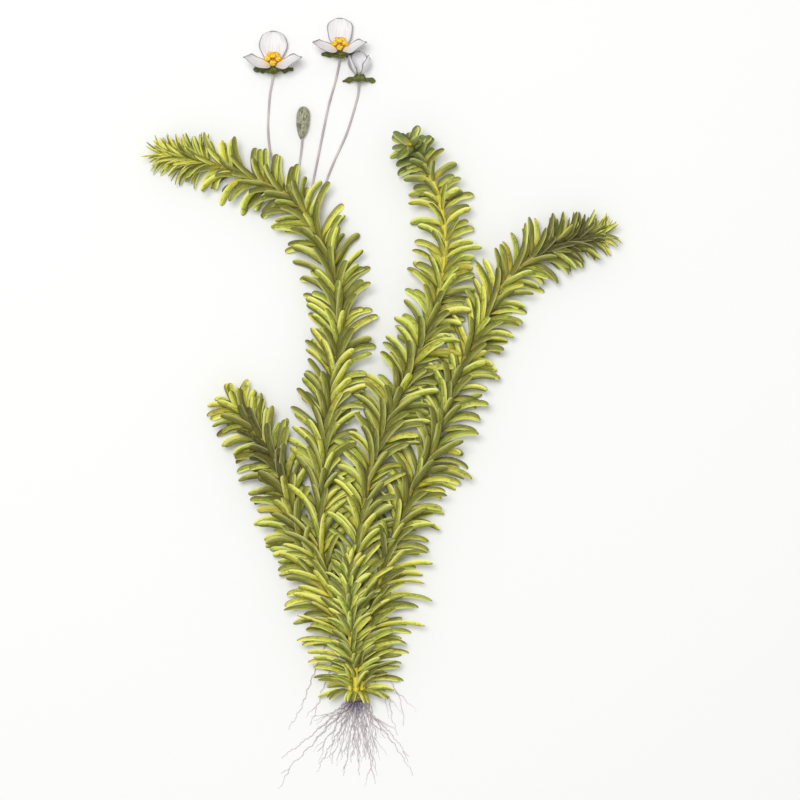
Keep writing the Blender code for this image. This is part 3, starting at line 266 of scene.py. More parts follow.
UV_STRIP_GAP = 0.01
UV_STRIP_TOP = 0.98
UV_STRIP_ENDS = (0.001, 0.999)

# A leaf's own colour, drawn from the tones of its stretch of the shoot and from how far it faces up
FRONT_LOSS_OPEN = 0.6           # how much less the front leaves darken where the stem is open to view
FRONT_LOSS_YELLOW = 0.8
DARK_CHANCE = 0.05
DARK_BY_TONE = 0.50
DARK_BY_FRONT = 0.58
DARK_MOST = 0.92
DARK_AMOUNT = (0.65, 1.0)
YELLOW_CHANCE = 0.15
YELLOW_BY_TONE = 0.75
YELLOW_AMOUNT = (0.3, 1.0)
GOLD_CHANCE = 0.12
GOLD_BY_TONE = 0.15
COOL_RANGE = (0.7, 1.2)
BROWN_AMOUNT = 0.35
BROWN_BY_FACING = 0.9
BROWN_RANGE = (0.5, 1.3)
# strength of the painted shade on one side of a leaf
PAINTED_SHADE_RANGE = (0.2, 1.0)
# how yellow a leaf's foot is, from painted shade at 0 to yellow at 1
FOOT_TINT_RANGE = (-0.3, 0.6)
FOOT_BY_OPEN = 0.9
FOOT_BY_YELLOW = 0.5
FOOT_BY_FACING = 0.5

# Fine stems
STEM_SIDES = 12
STEM_RING_STEPS = 2             # route steps from ring to ring
STEM_FINE_SHARE = 0.94          # fine radius to the solid's corner radius
NODE_SWELL = 0.16
NODE_REACH = 1.1 * MM
STEM_RIDGES = 4
STEM_RIDGE = 0.05

# Crown, as in the solids, and its finer lumps
CROWN_X = -12.6 * MM
CROWN_TOP = -129.5 * MM
CROWN_LENGTH = 5.5 * MM
CROWN_RADIUS = 4.4 * MM
CROWN_FOOT_RADIUS = 3.7 * MM
CROWN_RINGS = 26
CROWN_SIDES = 44
CROWN_LUMP = 0.5 * MM
CROWN_LUMPS = 900.0             # lumps per metre
CROWN_ROUNDING = 0.22           # share of the length over which each end is rounded
CROWN_END = 0.03                # how much of the squared radius is kept at the ends
CROWN_RIDGE = 0.25 * MM
CROWN_RIDGES = 11
CROWN_TWIST = 6.0
CROWN_TINT = (0.35, 1.0)        # where along it the crown turns from olive to mauve

# Roots, as in the solids
ROOT_TIPS = [
    (-27.0, -143.0), (-46.5, -161.0), (-46.5, -168.5), (-25.5, -148.5), (-29.8, -158.5),
    (-30.2, -167.4), (-24.0, -163.5), (-18.6, -169.0), (-15.3, -163.0), (-10.8, -169.0),
    (-8.0, -161.5), (-3.6, -172.3), (-4.2, -156.6), (-2.5, -152.5), (0.5, -152.0),
    (14.0, -168.3), (11.5, -160.0)]
ROOT_RADIUS = 0.3 * MM
ROOT_POINTS = 6
ROOT_WAVE = 0.7 * MM
ROOT_WAVE_TURN = 5.0
ROOT_ROWS = [(3.8 * MM, 3.0 * MM, 9.0 * MM), (1.3 * MM, 2.3 * MM, 4.0 * MM), (6.0 * MM, 2.4 * MM, 13.0 * MM)]
STEM_ROOT_ROUTES = [
    [(-18.7, -111.5, 2.4), (-22.0, -116.0, 0.7), (-26.0, -124.5, 0.4), (-28.8, -133.2, 0.4),
     (-30.4, -138.0, 0.4), (-33.3, -146.2, 0.4)],
    [(-22.5, -99.5, 2.4), (-25.0, -106.0, 0.7), (-30.0, -118.0, 0.4), (-34.5, -130.0, 0.4),
     (-38.0, -139.0, 0.4), (-43.6, -148.1, 0.4)],
    [(-7.9, -109.5, 2.4), (-5.0, -115.0, 0.7), (0.5, -123.0, 0.4), (5.5, -130.5, 0.4),
     (8.1, -138.0, 0.4), (9.0, -146.7, 0.4)],
    [(-9.0, -120.0, 1.2), (-6.0, -124.5, 0.5), (-0.5, -130.0, 0.4), (2.6, -136.0, 0.4),
     (3.4, -142.5, 0.4), (6.3, -150.5, 0.4)]]

# Fine roots
ROOT_FOOT_RADIUS = 0.30 * MM
ROOT_END_RADIUS = 0.12 * MM
ROOT_SIDES = 7
ROOT_WIGGLES = [(0.35 * MM, 7.0 * MM), (0.16 * MM, 2.6 * MM)]   # height and length of the waves
WIGGLE_HEIGHTS = (0.5, 1.3)
WIGGLE_LENGTHS = (0.8, 1.25)
WIGGLE_ONSET = 4.0 * MM
ROOT_TAPER = 0.8
ROOT_SPOTS = 450.0              # spots per metre
ROOT_PALING = (0.25, 1.1)
PALE_BY_THINNESS = 0.9
PALE_BY_SPOTS = 0.35
SIDE_ROOTS = 2                  # fine side roots to each root
SIDE_ROOT_RADIUS = 0.15 * MM
SIDE_ROOT_LENGTH = (6.0 * MM, 14.0 * MM)
SIDE_ROOT_LEAN = (8.0, 24.0)
SIDE_ROOT_STARTS = (0.12, 0.88)
SIDE_ROOT_REACH = 4             # route steps over which the root's own heading is taken
SIDE_ROOT_BEND = 0.6            # how much of its lean a side root loses again
SIDE_ROOT_SINK = 0.25
SIDE_ROOT_TAPER = 0.45
TWIN_ROOTS = 1                  # thinner roots that go with each root of the crown
TWIN_SIDE_ROOTS = 1
TWIN_ROOT_RADIUS = 0.19 * MM
TWIN_ROOT_FEET = (-19.5 * MM, -5.0 * MM)    # how wide they spread below the lowest leaves
TWIN_ROOT_BEND_Y = -138.0 * MM  # where they have turned down
TWIN_ROOT_ENDS = (-155.0 * MM, -170.0 * MM)
TWIN_ROOT_FAN = 1.5             # how much wider they stand at their ends
TWIN_ROOT_END = 0.8             # end radius to that of the other roots
TWIN_ROOT_HEIGHTS = (0.6, 4.5)
TWIN_ROOT_REACH = 3.2 * MM      # how far to the crown's sides they start
TWIN_ROOT_START = 0.75
TWIN_ROOT_SWAYS = (2.5, 1.2)    # at the end and halfway down, in millimetres
TWIN_ROOT_SLOPE = 0.2
TWIN_ROOT_BULGE = 0.12          # how the bend at the top bulges aside, towards the crown and up
TWIN_ROOT_ARCH = 1.0 * MM
TWIN_ROOT_LIFT = 0.2
TWIN_ROOT_SHIFT = 0.4
ROOT_DARK_REACH = 8.0 * MM      # how far from the crown the roots stay dark

# Short leaves that hang over the crown: azimuth, length, width, and leans at foot and tip
SKIRT_LEAVES = [
    (-14.0, 13.5, 2.3, 88.0, 120.0), (6.0, 15.0, 2.2, 80.0, 124.0), (27.0, 10.5, 2.0, 90.0, 146.0),
    (40.0, 13.5, 2.1, 80.0, 138.0), (63.0, 9.0, 1.9, 96.0, 166.0), (72.0, 12.0, 2.0, 90.0, 154.0),
    (93.0, 8.5, 1.8, 98.0, 170.0), (109.0, 11.0, 1.9, 92.0, 158.0), (119.0, 8.0, 1.9, 98.0, 164.0),
    (141.0, 12.0, 2.1, 84.0, 140.0), (160.0, 10.5, 2.0, 88.0, 138.0), (186.0, 14.5, 2.2, 84.0, 120.0)]
SKIRT_TONES = (0.35, 0.6, 0.0, 0.1, 0.0, 0.0)
SKIRT_FACING = 0.3
SKIRT_POINTED = 0.6
SKIRT_SINK = 0.6 * MM           # how far below the crown's top the leaves start
SKIRT_FOOT = 0.8                # and how far out, as a share of its radius

# Stalks, as in the solids
STALK_RADIUS = 0.5 * MM
STALK_SIDES = 12
STALK_FOOT = 0.8                # how far out from the stem's middle a stalk ends, as a share of its radius
STALK_LUMP = 0.08
STALK_LUMPS = 300.0             # lumps per metre
STALK_TINTS = 120.0             # tints per metre
STALK_TINT_BAND = (0.25, 0.75)
STALK_GREEN = 0.5               # how green a stalk is at its foot
STALK_GREEN_START = 0.9
STALK_REACH = {                 # where each fine stalk ends inside what it bears
    "left_flower_stalk": (-50.0, 150.2, 3.9), "middle_flower_stalk": (-19.9, 157.2, 3.9),
    "right_flower_stalk": (-11.3, 146.0, 3.9), "bud_stalk": (-36.9, 119.6, 2.5)}
STALKS = [
    ("left_flower_stalk",
     [(-50.1, 148.2, 3.3), (-50.6, 144.0, 1.2), (-51.6, 138.0, 0.55), (-52.4, 125.0, 0.55),
      (-51.6, 114.5, 0.55), (-49.6, 106.5, 0.9), (-47.3, 100.0, 3.4)]),
    ("bud_stalk",
     [(-37.0, 118.0, 2.0), (-37.3, 114.0, 0.8), (-38.2, 107.0, 0.55), (-38.9, 101.0, 0.8),
      (-39.6, 95.5, 3.6)]),
    ("middle_flower_stalk",
     [(-20.1, 155.2, 3.3), (-20.6, 151.0, 1.2), (-22.2, 144.0, 0.55), (-25.2, 133.0, 0.55),
      (-28.4, 117.5, 0.55), (-31.3, 103.0, 0.55), (-33.0, 95.0, 1.4), (-34.4, 89.5, 4.2)]),
    ("right_flower_stalk",
     [(-11.5, 144.0, 3.3), (-11.6, 140.0, 1.2), (-12.9, 134.0, 0.55), (-17.0, 121.0, 0.55),
      (-22.6, 108.5, 0.55), (-26.6, 98.0, 0.55), (-28.6, 90.0, 0.9), (-30.1, 83.2, 4.0)])]

# Flowers, as in the solids: name, where the petals meet, size, tilt, petals, size of petals, has stamens
OPEN_PETALS = [("petal_back", 0.0, 46.0, 14.0, 0.0, 1.0), ("petal_left", -118.0, 84.0, 44.0, 20.0, 0.8),
               ("petal_right", 118.0, 84.0, 44.0, 20.0, 0.8)]
CLOSED_PETALS = [("petal_back", 0.0, 40.0, -6.0, 0.0, 0.85), ("petal_left", -120.0, 52.0, -14.0, 0.0, 0.85),
                 ("petal_right", 120.0, 52.0, -14.0, 0.0, 0.85)]
FLOWERS = [
    ("left_flower", (-50.0, 151.4, 4.2), 1.0, 25.0, OPEN_PETALS, 1.0, True),
    ("middle_flower", (-19.9, 158.4, 4.2), 0.92, 25.0, OPEN_PETALS, 0.92, True),
    ("right_flower", (-11.3, 147.2, 4.2), 0.80, 18.0, CLOSED_PETALS, 0.68, False)]
PETAL_LENGTH = 15.0 * MM
PETAL_WIDTH = 12.6 * MM
PETAL_FOOT = 1.5 * MM
PETAL_RISE = 0.9 * MM
PETAL_CUP = 0.13
PETAL_FOOT_WIDTH = 0.15
PETAL_FULL_TURN = 0.80
PETAL_DELAY = 0.85
PETAL_BLUNTNESS = 0.75

# Fine petals
PETAL_ROWS = 30
PETAL_COLUMNS = 22
PETAL_THICKNESS = 0.30 * MM
PETAL_RUFFLE = 0.35 * MM
PETAL_ROUND_START = 0.80        # where a petal's outline starts to close
ROUND_END = 0.04                # how much of the squared width a round petal keeps at its very end
SIDE_PETAL_POINT = 0.62         # where the outline of the pointed side petals starts to close
SIDE_PETAL_ROUNDING = 0.75
PETAL_LEAST_WIDTH = 0.01
RIM_START = 0.7                 # where the ruffles reach in from the end
RIM_SHARPNESS = 3
RUFFLE_ALONG = 9.0
RUFFLE_ACROSS = 5.0
RUFFLE_ONSET = 3.0
PETAL_WAVE = 0.035
PETAL_WAVE_ALONG = 11.0
PETAL_RIM_THINNING = 0.75
PETAL_END_THINNING = 0.6
GREY_PETAL = "right_flower_petal_left"      # the one that lies in shade

# Cup, sepals and stamens
CUP_RADIUS = 1.5 * MM
CUP_PROFILE = [(-1.7, 0.45), (-1.6, 0.7), (-1.1, 1.2), (-0.55, 1.5), (-0.1, 1.55), (0.2, 1.4), (0.3, 0.6)]
CUP_SIDES = 28
SEPAL_TURNS = (60.0, 180.0, 300.0)
SEPAL_LENGTH = 9.0 * MM
SEPAL_WIDTH = 4.6 * MM
SEPAL_CLEAR = 0.7 * MM
SEPAL_DROP = 1.5 * MM
SEPAL_IN_FRONT = 180.0          # the turn of the sepal that faces the viewer, which is folded shorter
FRONT_SEPAL_LENGTH = 0.4
FRONT_SEPAL_BREADTH = 1.7
SEPAL_FACE_UP = 0.8             # how far the sepals turn their upper side to the viewer
SEPAL_RISE = -0.26
SEPAL_THICKNESS = 0.5 * MM
SEPAL_RIPPLE = 0.7 * MM
SEPAL_CHANNEL = 0.1
SEPAL_FOOT = 0.6                # how far out a sepal starts, as a share of the cup's radius
SEPAL_DROP_ONSET = 3.0
SEPAL_SWELL = (0.18, 0.80)      # the stretch of a half turn that gives a sepal its outline
SEPAL_BLUNTNESS = 0.6
STAMEN_LENGTH = 4.3 * MM
STAMEN_WHORLS = 3
WHORL_STAMENS = 3
STAMEN_STEP = 0.9 * MM
STAMEN_TURN = 120.0
STAMEN_LEAN = 54.0
STAMEN_LEAN_STEP = 18.0
STAMEN_FOOT = 0.5 * MM
STAMEN_STALK_RADIUS = 0.28 * MM
STAMEN_HEAD_RADIUS = 1.35 * MM
STAMEN_HEAD_START = 0.38
STAMEN_RINGS = 30
STAMEN_SIDES = 20
STAMEN_LUMP = 0.75 * MM
STAMEN_LUMPS = 1500.0           # lumps per metre
STAMEN_HEAD_FULL = 0.75
STAMEN_END_START = 0.78
STAMEN_END = 0.02               # how much of the squared radius is kept at the end
STAMEN_STRETCH = 1.06
STAMEN_SPREAD = 1.35            # how much wider than high the fine stamens stand

# Bud
BUD_FOOT = (-37.3 * MM, 118.7 * MM, 2.1 * MM)
BUD_TIP = (-36.1 * MM, 133.3 * MM, 2.3 * MM)
BUD_RADIUS = 3.05 * MM
BUD_SIDES = 40
BUD_RINGS = 44
BUD_FOLD = 0.10                 # depth of the folds between its three sepals
BUD_FOLDS = 3
BUD_FOLD_TWIST = 1.4
BUD_FOLD_SHARPNESS = 6
BUD_LUMP = 0.12 * MM
BUD_LUMPS = 800.0               # lumps per metre
BUD_FLOOR_SHARE = 0.92          # how far its widest rings sink to the floor
BUD_PROFILE = [
    (0.0, 0.20), (0.05, 0.36), (0.15, 0.60), (0.30, 0.83), (0.45, 0.95), (0.62, 1.0), (0.78, 0.97),
    (0.88, 0.86), (0.94, 0.70), (0.98, 0.48), (1.0, 0.22)]

# Light, floor and camera
SKY = 0.55
LAMP_PLACE = (-0.30, 0.40, 2.0)
LAMP_SIZE = 0.7
LAMP_POWER = 26.0
FLOOR_REACH = 3.0
FLOOR_DROP = 0.02 * MM
FLOOR_COLOUR = (0.88, 0.88, 0.87)
FLOOR_SURFACE = (0.9, 0.1)
PICTURE_WIDTH = 0.360           # width of the floor that the picture shows
PICTURE_CENTRE = (7.2 * MM, 0.9 * MM)
FOCUS_HEIGHT = 8.0 * MM
LENS = 200.0
SENSOR = 36.0
CLIP = (0.05, 20.0)


def srgb(*parts):
    """A colour of three sRGB values from 0 to 255, as the linear values that paints use."""
    return tuple(((part / 255 + 0.055) / 1.055) ** 2.4 if part > 10 else part / 255 / 12.92
                 for part in parts)


# Colours
LEAF_GREEN = srgb(184, 192, 64)
LEAF_DARK = srgb(124, 127, 55)
LEAF_YELLOW = srgb(232, 230, 70)
LEAF_FRESH = srgb(178, 198, 58)
# pale veins, and painted highlights on a leaf's lit side and rim
LEAF_VEIN_AND_HIGHLIGHT = srgb(247, 249, 132)
# painted shade on a leaf's shaded side, and also its dark veins and dark tip
LEAF_DARK_MARK_AND_SHADE = srgb(104, 101, 46)
# painted shade as a dark outline along the margin of a leaf's shaded side
LEAF_SHADE_OUTLINE = srgb(70, 66, 32)
# painted shade at a leaf's foot by the stem
LEAF_FOOT_SHADE = srgb(124, 116, 58)
# painted highlight as a pale rim along the margin of a leaf's lit side
LEAF_HIGHLIGHT_RIM = srgb(244, 243, 186)
LEAF_GOLD = srgb(232, 208, 62)
LEAF_COOL = srgb(96, 118, 72)
LEAF_BROWN = srgb(54, 46, 38)
YOUNG_GREEN = srgb(138, 166, 56)
STEM_BROWN = srgb(104, 98, 56)
STEM_YELLOW = srgb(244, 230, 76)
INK = srgb(66, 62, 30)
FOOT_YELLOW = srgb(206, 204, 92)
CROWN_OLIVE = srgb(160, 152, 62)
CROWN_MAUVE = srgb(120, 104, 118)
ROOT_PURPLE = srgb(122, 110, 142)
ROOT_GREY = srgb(196, 187, 187)
ROOT_PALE = srgb(226, 220, 217)
STALK_PALE = srgb(206, 200, 192)
STALK_MAUVE = srgb(176, 164, 168)
BUD_GREY = srgb(150, 152, 126)
BUD_DARK = srgb(88, 90, 62)
BUD_LIGHT = srgb(196, 196, 168)
PETAL_WHITE = srgb(234, 232, 234)
PETAL_GREY = srgb(132, 127, 134)
PETAL_SHADE = srgb(204, 201, 206)
PETAL_YELLOW = srgb(240, 232, 190)
SEPAL_OLIVE = srgb(84, 88, 40)
SEPAL_LIGHT = srgb(122, 128, 62)
STAMEN_YELLOW = srgb(252, 216, 66)
STAMEN_ORANGE = srgb(232, 166, 44)
STAMEN_BROWN = srgb(164, 104, 30)

# Paints in layers over a piece's own colour. A surface is its roughness and its shine. A pattern is a noise
# with its scale, detail and roughness, at a place on the plant or drawn out by factors over the directions of
# a part. A layer's colour comes in between two values of a pattern or direction, from one amount to another.
# The relief follows one pattern and has a height and a strength.
PAINTS = {
    "stem": {
        "surface": (0.5, 0.35),
        "patterns": {
            "streaks": (1.0, 3.0, 0.6, ("along", 0.12), ("across", 9.0)), "lights": (260.0, 2.0, 0.5)},
        "layers": [("streaks", 0.45, 0.62, 0.0, 0.4, INK), ("lights", 0.5, 0.7, 0.0, 0.5, STEM_YELLOW)],
        "relief": ("streaks", 0.1 * MM, 0.8)},
    "crown": {
        "surface": (0.7, 0.3),
        "patterns": {"pits": (900.0, 4.0, 0.65), "lights": (500.0, 2.0, 0.5)},
        "layers": [("pits", 0.45, 0.62, 0.0, 0.65, INK), ("lights", 0.55, 0.72, 0.0, 0.6, FOOT_YELLOW)],
        "relief": ("pits", 0.25 * MM, 0.9)},
    "root": {
        "surface": (0.75, 0.25),
        "patterns": {"flecks": (700.0, 3.0, 0.6), "grain": (2400.0, 2.0, 0.5)},
        "layers": [("flecks", 0.50, 0.66, 0.0, 0.45, ROOT_PURPLE), ("grain", 0.5, 0.7, 0.0, 0.35, ROOT_PALE)],
        "relief": ("grain", 0.06 * MM, 0.7)},
    "stalk": {
        "surface": (0.55, 0.4),
        "patterns": {"streaks": (1.0, 3.0, 0.6, ("along", 0.08), ("across", 7.0))},
        "layers": [("streaks", 0.45, 0.70, 0.0, 0.6, STALK_MAUVE)],
        "relief": ("streaks", 0.05 * MM, 0.7)},
    "sepal": {
        "surface": (0.6, 0.3),
        "patterns": {"mottle": (800.0, 3.0, 0.6)},
        "layers": [("mottle", 0.42, 0.66, 0.0, 0.8, SEPAL_LIGHT), ("edge", 0.7, 1.0, 0.0, 0.4, INK)],
        "relief": ("mottle", 0.12 * MM, 0.8)},
    "stamen": {
        "surface": (0.65, 0.25),
        "patterns": {"specks": (1500.0, 2.0, 0.5), "dots": (900.0, 1.0, 0.4)},
        "layers": [
            ("specks", 0.46, 0.60, 0.0, 0.8, STAMEN_ORANGE), ("dots", 0.60, 0.68, 0.0, 0.8, STAMEN_BROWN)],
        "relief": ("specks", 0.12 * MM, 0.9)},
    "bud": {
        "surface": (0.6, 0.3),
        "patterns": {"veins": (1.8, 3.0, 0.6, ("across", 2.6), ("along", 2.2)), "mottle": (750.0, 3.0, 0.6)},
        "layers": [
            ("mottle", 0.40, 0.62, 0.0, 0.7, BUD_LIGHT), ("veins", 0.48, 0.60, 0.0, 0.85, BUD_DARK),
            ("along", 0.0, 0.12, 0.7, 0.0, BUD_DARK)],
        "relief": ("veins", 0.15 * MM, 0.8)}}

# A mix node has its sockets for colours after those for numbers and vectors
COLOUR_MIX_INPUTS = (0, 6, 7)
COLOUR_MIX_OUTPUT = 2

# The leaf paint's bands: the two values between which each comes in, and its amounts there
LEAF_BANDS = {
    "lightening": (0.06, 0.42, 0.2, 0.85),
    "light veins": (0.50, 0.62, 0.0, 0.85),
    "dark veins": (0.36, 0.46, 0.75, 0.0),
    "blotches": (0.50, 0.68, 0.0, 0.65),
    # a leaf's foot, between painted shade and yellow
    "foot": (0.05, 0.60, 1.0, 0.0),
    "foot veins": (0.35, 0.6, 0.95, 0.35),
    # painted shade over one side of a leaf and painted highlight over the other
    "painted shade side": (0.0, 0.45, 0.0, 1.0),
    "painted highlight side": (-0.2, -0.6, 0.0, 1.0),
    "painted highlight reach": (0.2, 0.6, 0.0, 1.0),
    "outline": (-0.1, 0.1, 0.0, 1.0),
    "rim": (0.80, 0.96, 0.0, 0.85),
    "tip": (0.95, 1.0, 0.0, 0.6),
    "roughness": (0.2, 0.8, 0.42, 0.62)}
LEAF_SURFACE = (0.5, 0.22)
VEIN_STRETCH = (5.6, 2.6)       # across and along a leaf
VEIN_SHIFT = 37.0               # how far apart in the noise the leaves' veins lie
VEIN_NOISE = (1.6, 3.0, 0.6)
LEAF_BLOTCHES = (520.0, 3.0, 0.6)
LEAF_RELIEF = (0.06 * MM, 0.7)
PAINTED_SHADE_STRENGTH = 0.9                 # how strong the painted shade on a leaf's shaded side and the painted highlight on its lit side are
PAINTED_HIGHLIGHT_STRENGTH = 0.85
# how far the painted shade at a leaf's foot darkens its own colour
FOOT_SHADE_AMOUNT = 0.5
# how pale the painted highlight rim on a leaf's lit side is
HIGHLIGHT_RIM_PALENESS = 0.6

# The petal paint, in the same way
PETAL_BANDS = {
    "veins": (0.48, 0.62, 0.0, 0.6),
    "shadow": (0.2, 0.7, 0.8, 0.0),
    "foot": (0.02, 0.28, 0.55, 0.0),
    "rim": (0.30, 0.62, 0.85, 0.0)}
PETAL_SURFACE = (0.5, 0.3)
PETAL_VEINS = (1.6, 2.0, 0.5, ("across", 9.0), ("along", 1.0))
PETAL_RELIEF = (0.05 * MM, 0.6)
PETAL_TIP_REACH = 13.0          # a petal's length in millimetres, for the width of its rim


def mixed(one, other, amount):
    """A colour between two, channel by channel."""
    return tuple(a + (b - a) * amount for a, b in zip(one, other))


def clamp(value, low=0.0, high=1.0):
    """The value, kept between a lowest and a highest."""
    return min(max(value, low), high)


def smoothed(value, low, high):
    """How far a value has come from low to high, with soft ends."""
    part = clamp((value - low) / (high - low))
    return part * part * (3 - 2 * part)


def curved(a, b, c, d, t):
    """A point of the smooth curve through a, b, c and d, between b and c."""
    return 0.5 * (2 * b + (c - a) * t + (2 * a - 5 * b + 4 * c - d) * t ** 2
                  + (3 * b - a - 3 * c + d) * t ** 3)


def smooth_path(points):
    """A smooth curve through the points, as points a fixed step apart along it."""
    knots = [2 * points[0] - points[1]] + points + [2 * points[-1] - points[-2]]
    dense = []
    for a, b, c, d in zip(knots, knots[1:], knots[2:], knots[3:]):
        dense += [curved(a, b, c, d, cut / CURVE_CUTS) for cut in range(CURVE_CUTS)]
    dense.append(points[-1])
    route = [dense[0]]
    needed = ROUTE_STEP
    for start, end in zip(dense, dense[1:]):
        stretch = (end - start).length
        done = 0.0
        while stretch - done >= needed:
            done += needed
            route.append(start.lerp(end, done / stretch))
            needed = ROUTE_STEP
        needed -= stretch - done
    return route


def smooth_route(points_mm):
    """A smooth curve through points in millimetres."""
    return smooth_path([Vector(point) * MM for point in points_mm])


def point_on(route, distance):
    """The point at a distance along a route."""
    place = clamp(distance / ROUTE_STEP, 0.0, len(route) - 1.001)
    index = int(place)
    return route[index].lerp(route[index + 1], place - index)


def route_length(route):
    """How long a route is from end to end."""
    return (len(route) - 1) * ROUTE_STEP


def frame_on(route, distance):
    """Point, heading, right-hand direction and upward direction at a distance along a route."""
    behind = point_on(route, distance - TANGENT_REACH)
    ahead = point_on(route, distance + TANGENT_REACH)
    along = (ahead - behind).normalized()
    up = (UP - along * along.z).normalized()
    return point_on(route, distance), along, along.cross(up), up


def step_at(path, index, reach=1):
    """The step from the point before an index of a path to the one after it."""
    return path[min(index + reach, len(path) - 1)] - path[max(index - reach, 0)]


def table_at(rows, share):
    """The values of a table at a share of the length, read between its rows."""
    for low, high in zip(rows, rows[1:]):
        if share <= high[0]:
            part = (share - low[0]) / (high[0] - low[0])
            return [a + (b - a) * part for a, b in zip(low[1:], high[1:])]
    return list(rows[-1][1:])


def whorl_distances(route, habit):
    """Distances along the stem at which the whorls of leaves stand."""
    length = route_length(route)
    distances = []
    distance = FIRST_WHORL
    while distance < length - WHORL_BAND:
        distances.append(distance)
        distance += table_at(habit, distance / length)[0] * MM
    return distances


def stem_radius(share):
    """The stem's corner radius, thinning to the tip over its last stretch."""
    part = clamp((share - STEM_TAPER_SHARE) / (1.0 - STEM_TAPER_SHARE))
    return STEM_RADIUS + (STEM_TIP_RADIUS - STEM_RADIUS) * part


def leaf_line(stem_frame, foot, azimuth, habit, seed, attempt):
    """One leaf's middle line: its points with their width and face directions, and its width."""
    _, along, side, up = stem_frame
    chance = random.Random(f"{seed} {attempt}")
    spread = 1.0 + ATTEMPT_SPREAD * attempt
    _, length, width, start_left, end_left, start_right, end_right = habit
    length *= MM * chance.uniform(*LENGTH_RANGE) * (1.0 - ATTEMPT_SHRINK * attempt)
    width *= MM * chance.uniform(*WIDTH_RANGE)
    azimuth += chance.uniform(-AZIMUTH_SWAY, AZIMUTH_SWAY) * spread
    right = 0.5 + 0.5 * math.cos(math.radians(azimuth))
    facing_up = max(math.sin(math.radians(azimuth)), 0.0)
    start = start_left + (start_right - start_left) * right
    start += chance.uniform(-START_SWAY, START_SWAY) * spread
    start *= 1.0 - UPPER_START_EASE * facing_up
    end = end_left + (end_right - end_left) * right
    end += chance.uniform(-END_SWAY, END_SWAY) * spread
    end *= 1.0 - UPPER_END_EASE * facing_up
    sweep = chance.uniform(-SWEEP_SWAY, SWEEP_SWAY)
    sweep -= UPPER_SAG * facing_up * math.copysign(1.0, math.cos(math.radians(azimuth)))
    turned = chance.uniform(*FACE_TURN_RANGE)
    point = foot.copy()
    face = None
    line = []
    for step in range(LEAF_STEPS + 1):
        share = step / LEAF_STEPS
        around = math.radians(azimuth + sweep * share)
        outward = side * math.cos(around) + up * math.sin(around)
        lean = math.radians(start + (end - start) * share ** LEAF_BEND_POWER)
        heading = along * math.cos(lean) + outward * math.sin(lean)
        inward = along * math.sin(lean) - outward * math.cos(lean)
        on_surface = point.z + heading.z * length / LEAF_STEPS < SURFACE_CLEAR
        if on_surface:
            heading = level_heading(heading, line)
        flat = UP - heading * heading.z
        upper_side = inward if face is None else face
        flat = flat.normalized() * math.copysign(1.0, upper_side.dot(flat))
        wanted = inward.lerp(flat, turned * min(share / FACE_TURN_STRETCH, 1.0))
        if on_surface and face is not None:
            wanted = face.lerp(UP * math.copysign(1.0, face.z), SURFACE_TURN)
        face = (wanted - heading * wanted.dot(heading)).normalized()
        line.append((point.copy(), heading.cross(face), face))
        point = point + heading * (length / LEAF_STEPS)
        point.z = max(point.z, SURFACE_CLEAR)
    return line, width


def level_heading(heading, line):
    """The heading along the surface, turned no more than a little from the leaf's last two points."""
    level = Vector((heading.x, heading.y, 0.0)).normalized()
    if len(line) < 2:
        return level
    last = line[-1][0] - line[-2][0]
    last = Vector((last.x, last.y, 0.0)).normalized()
    bend = math.degrees(math.atan2(last.cross(level).z, last.dot(level)))
    bend = math.radians(clamp(bend, -SURFACE_BEND, SURFACE_BEND))
    return last * math.cos(bend) + UP.cross(last) * math.sin(bend)


def tip_corners(line, width):
    """The two corners of the solid leaf's tip."""
    point, across, _ = line[-1]
    half = across * (width * LEAF_TIP_SHARE / 2)
    lift = max(-min((point - half).z, (point + half).z), 0.0)
    return point - half + UP * lift, point + half + UP * lift


def corner_finder(node):
    """A search tree of a solid's corners."""
    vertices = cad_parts[node].data.vertices
    tree = kdtree.KDTree(len(vertices))
    for index, vertex in enumerate(vertices):
        tree.insert(vertex.co, index)
    tree.balance()
    return tree


def grown_line(finder, stem_frame, foot, azimuth, habit, seed):
    """The middle line and width of the leaf that the solid has here, or None where it has none."""
    for attempt in range(LEAF_ATTEMPTS):
        line, width = leaf_line(stem_frame, foot, azimuth, habit, seed, attempt)
        if all(finder.find(corner)[2] < SAME_POINT for corner in tip_corners(line, width)):
            return line, width
    return None


def solids_tree():
    """A search tree of all the solids' faces."""
    points = []
    faces = []
    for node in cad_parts.values():
        shift = len(points)
        points += [vertex.co.copy() for vertex in node.data.vertices]
        faces += [tuple(shift + corner for corner in face.vertices) for face in node.data.polygons]
    return BVHTree.FromPolygons(points, faces)


def ribbon(line, width):
    """A flat strip along a leaf's middle line, past its foot, as points and faces."""
    points = []
    for point, across, _ in line[BETWEEN_START:]:
        points += [point - across * (width / 2), point + across * (width / 2)]
    faces = [(row, row + 1, row + 3, row + 2) for row in range(0, len(points) - 2, 2)]
    return points, faces


def between_line(trees, stem_frame, foot, azimuth, habit, seed, length_range):
    """The middle line and width of a leaf between two whorls that crosses no other, or None."""
    chance = random.Random(seed)
    habit = list(habit)
    habit[1] *= chance.uniform(*length_range)
    for attempt in range(BETWEEN_ATTEMPTS):
        line, width = leaf_line(stem_frame, foot, azimuth, habit, seed, attempt)
        points, faces = ribbon(line, width)
        tree = BVHTree.FromPolygons(points, faces)
        low = [min(point[axis] for point in points) for axis in range(3)]
        high = [max(point[axis] for point in points) for axis in range(3)]
        clear = not tree.overlap(trees[0][2])
        for other_low, other_high, other in trees[1:]:
            if not clear:
                break
            apart = any(low[axis] > other_high[axis] or high[axis] < other_low[axis] for axis in range(3))
            clear = apart or not tree.overlap(other)
        if clear:
            trees.append((low, high, tree))
            return line, width
    return None


# A leaf that is to be made fine: its middle line and width, the tones of its stretch of the shoot, how far it
# faces up, the seed of its looks and its share of the shoot's length
Leaf = namedtuple("Leaf", "line width tones facing_up seed share")


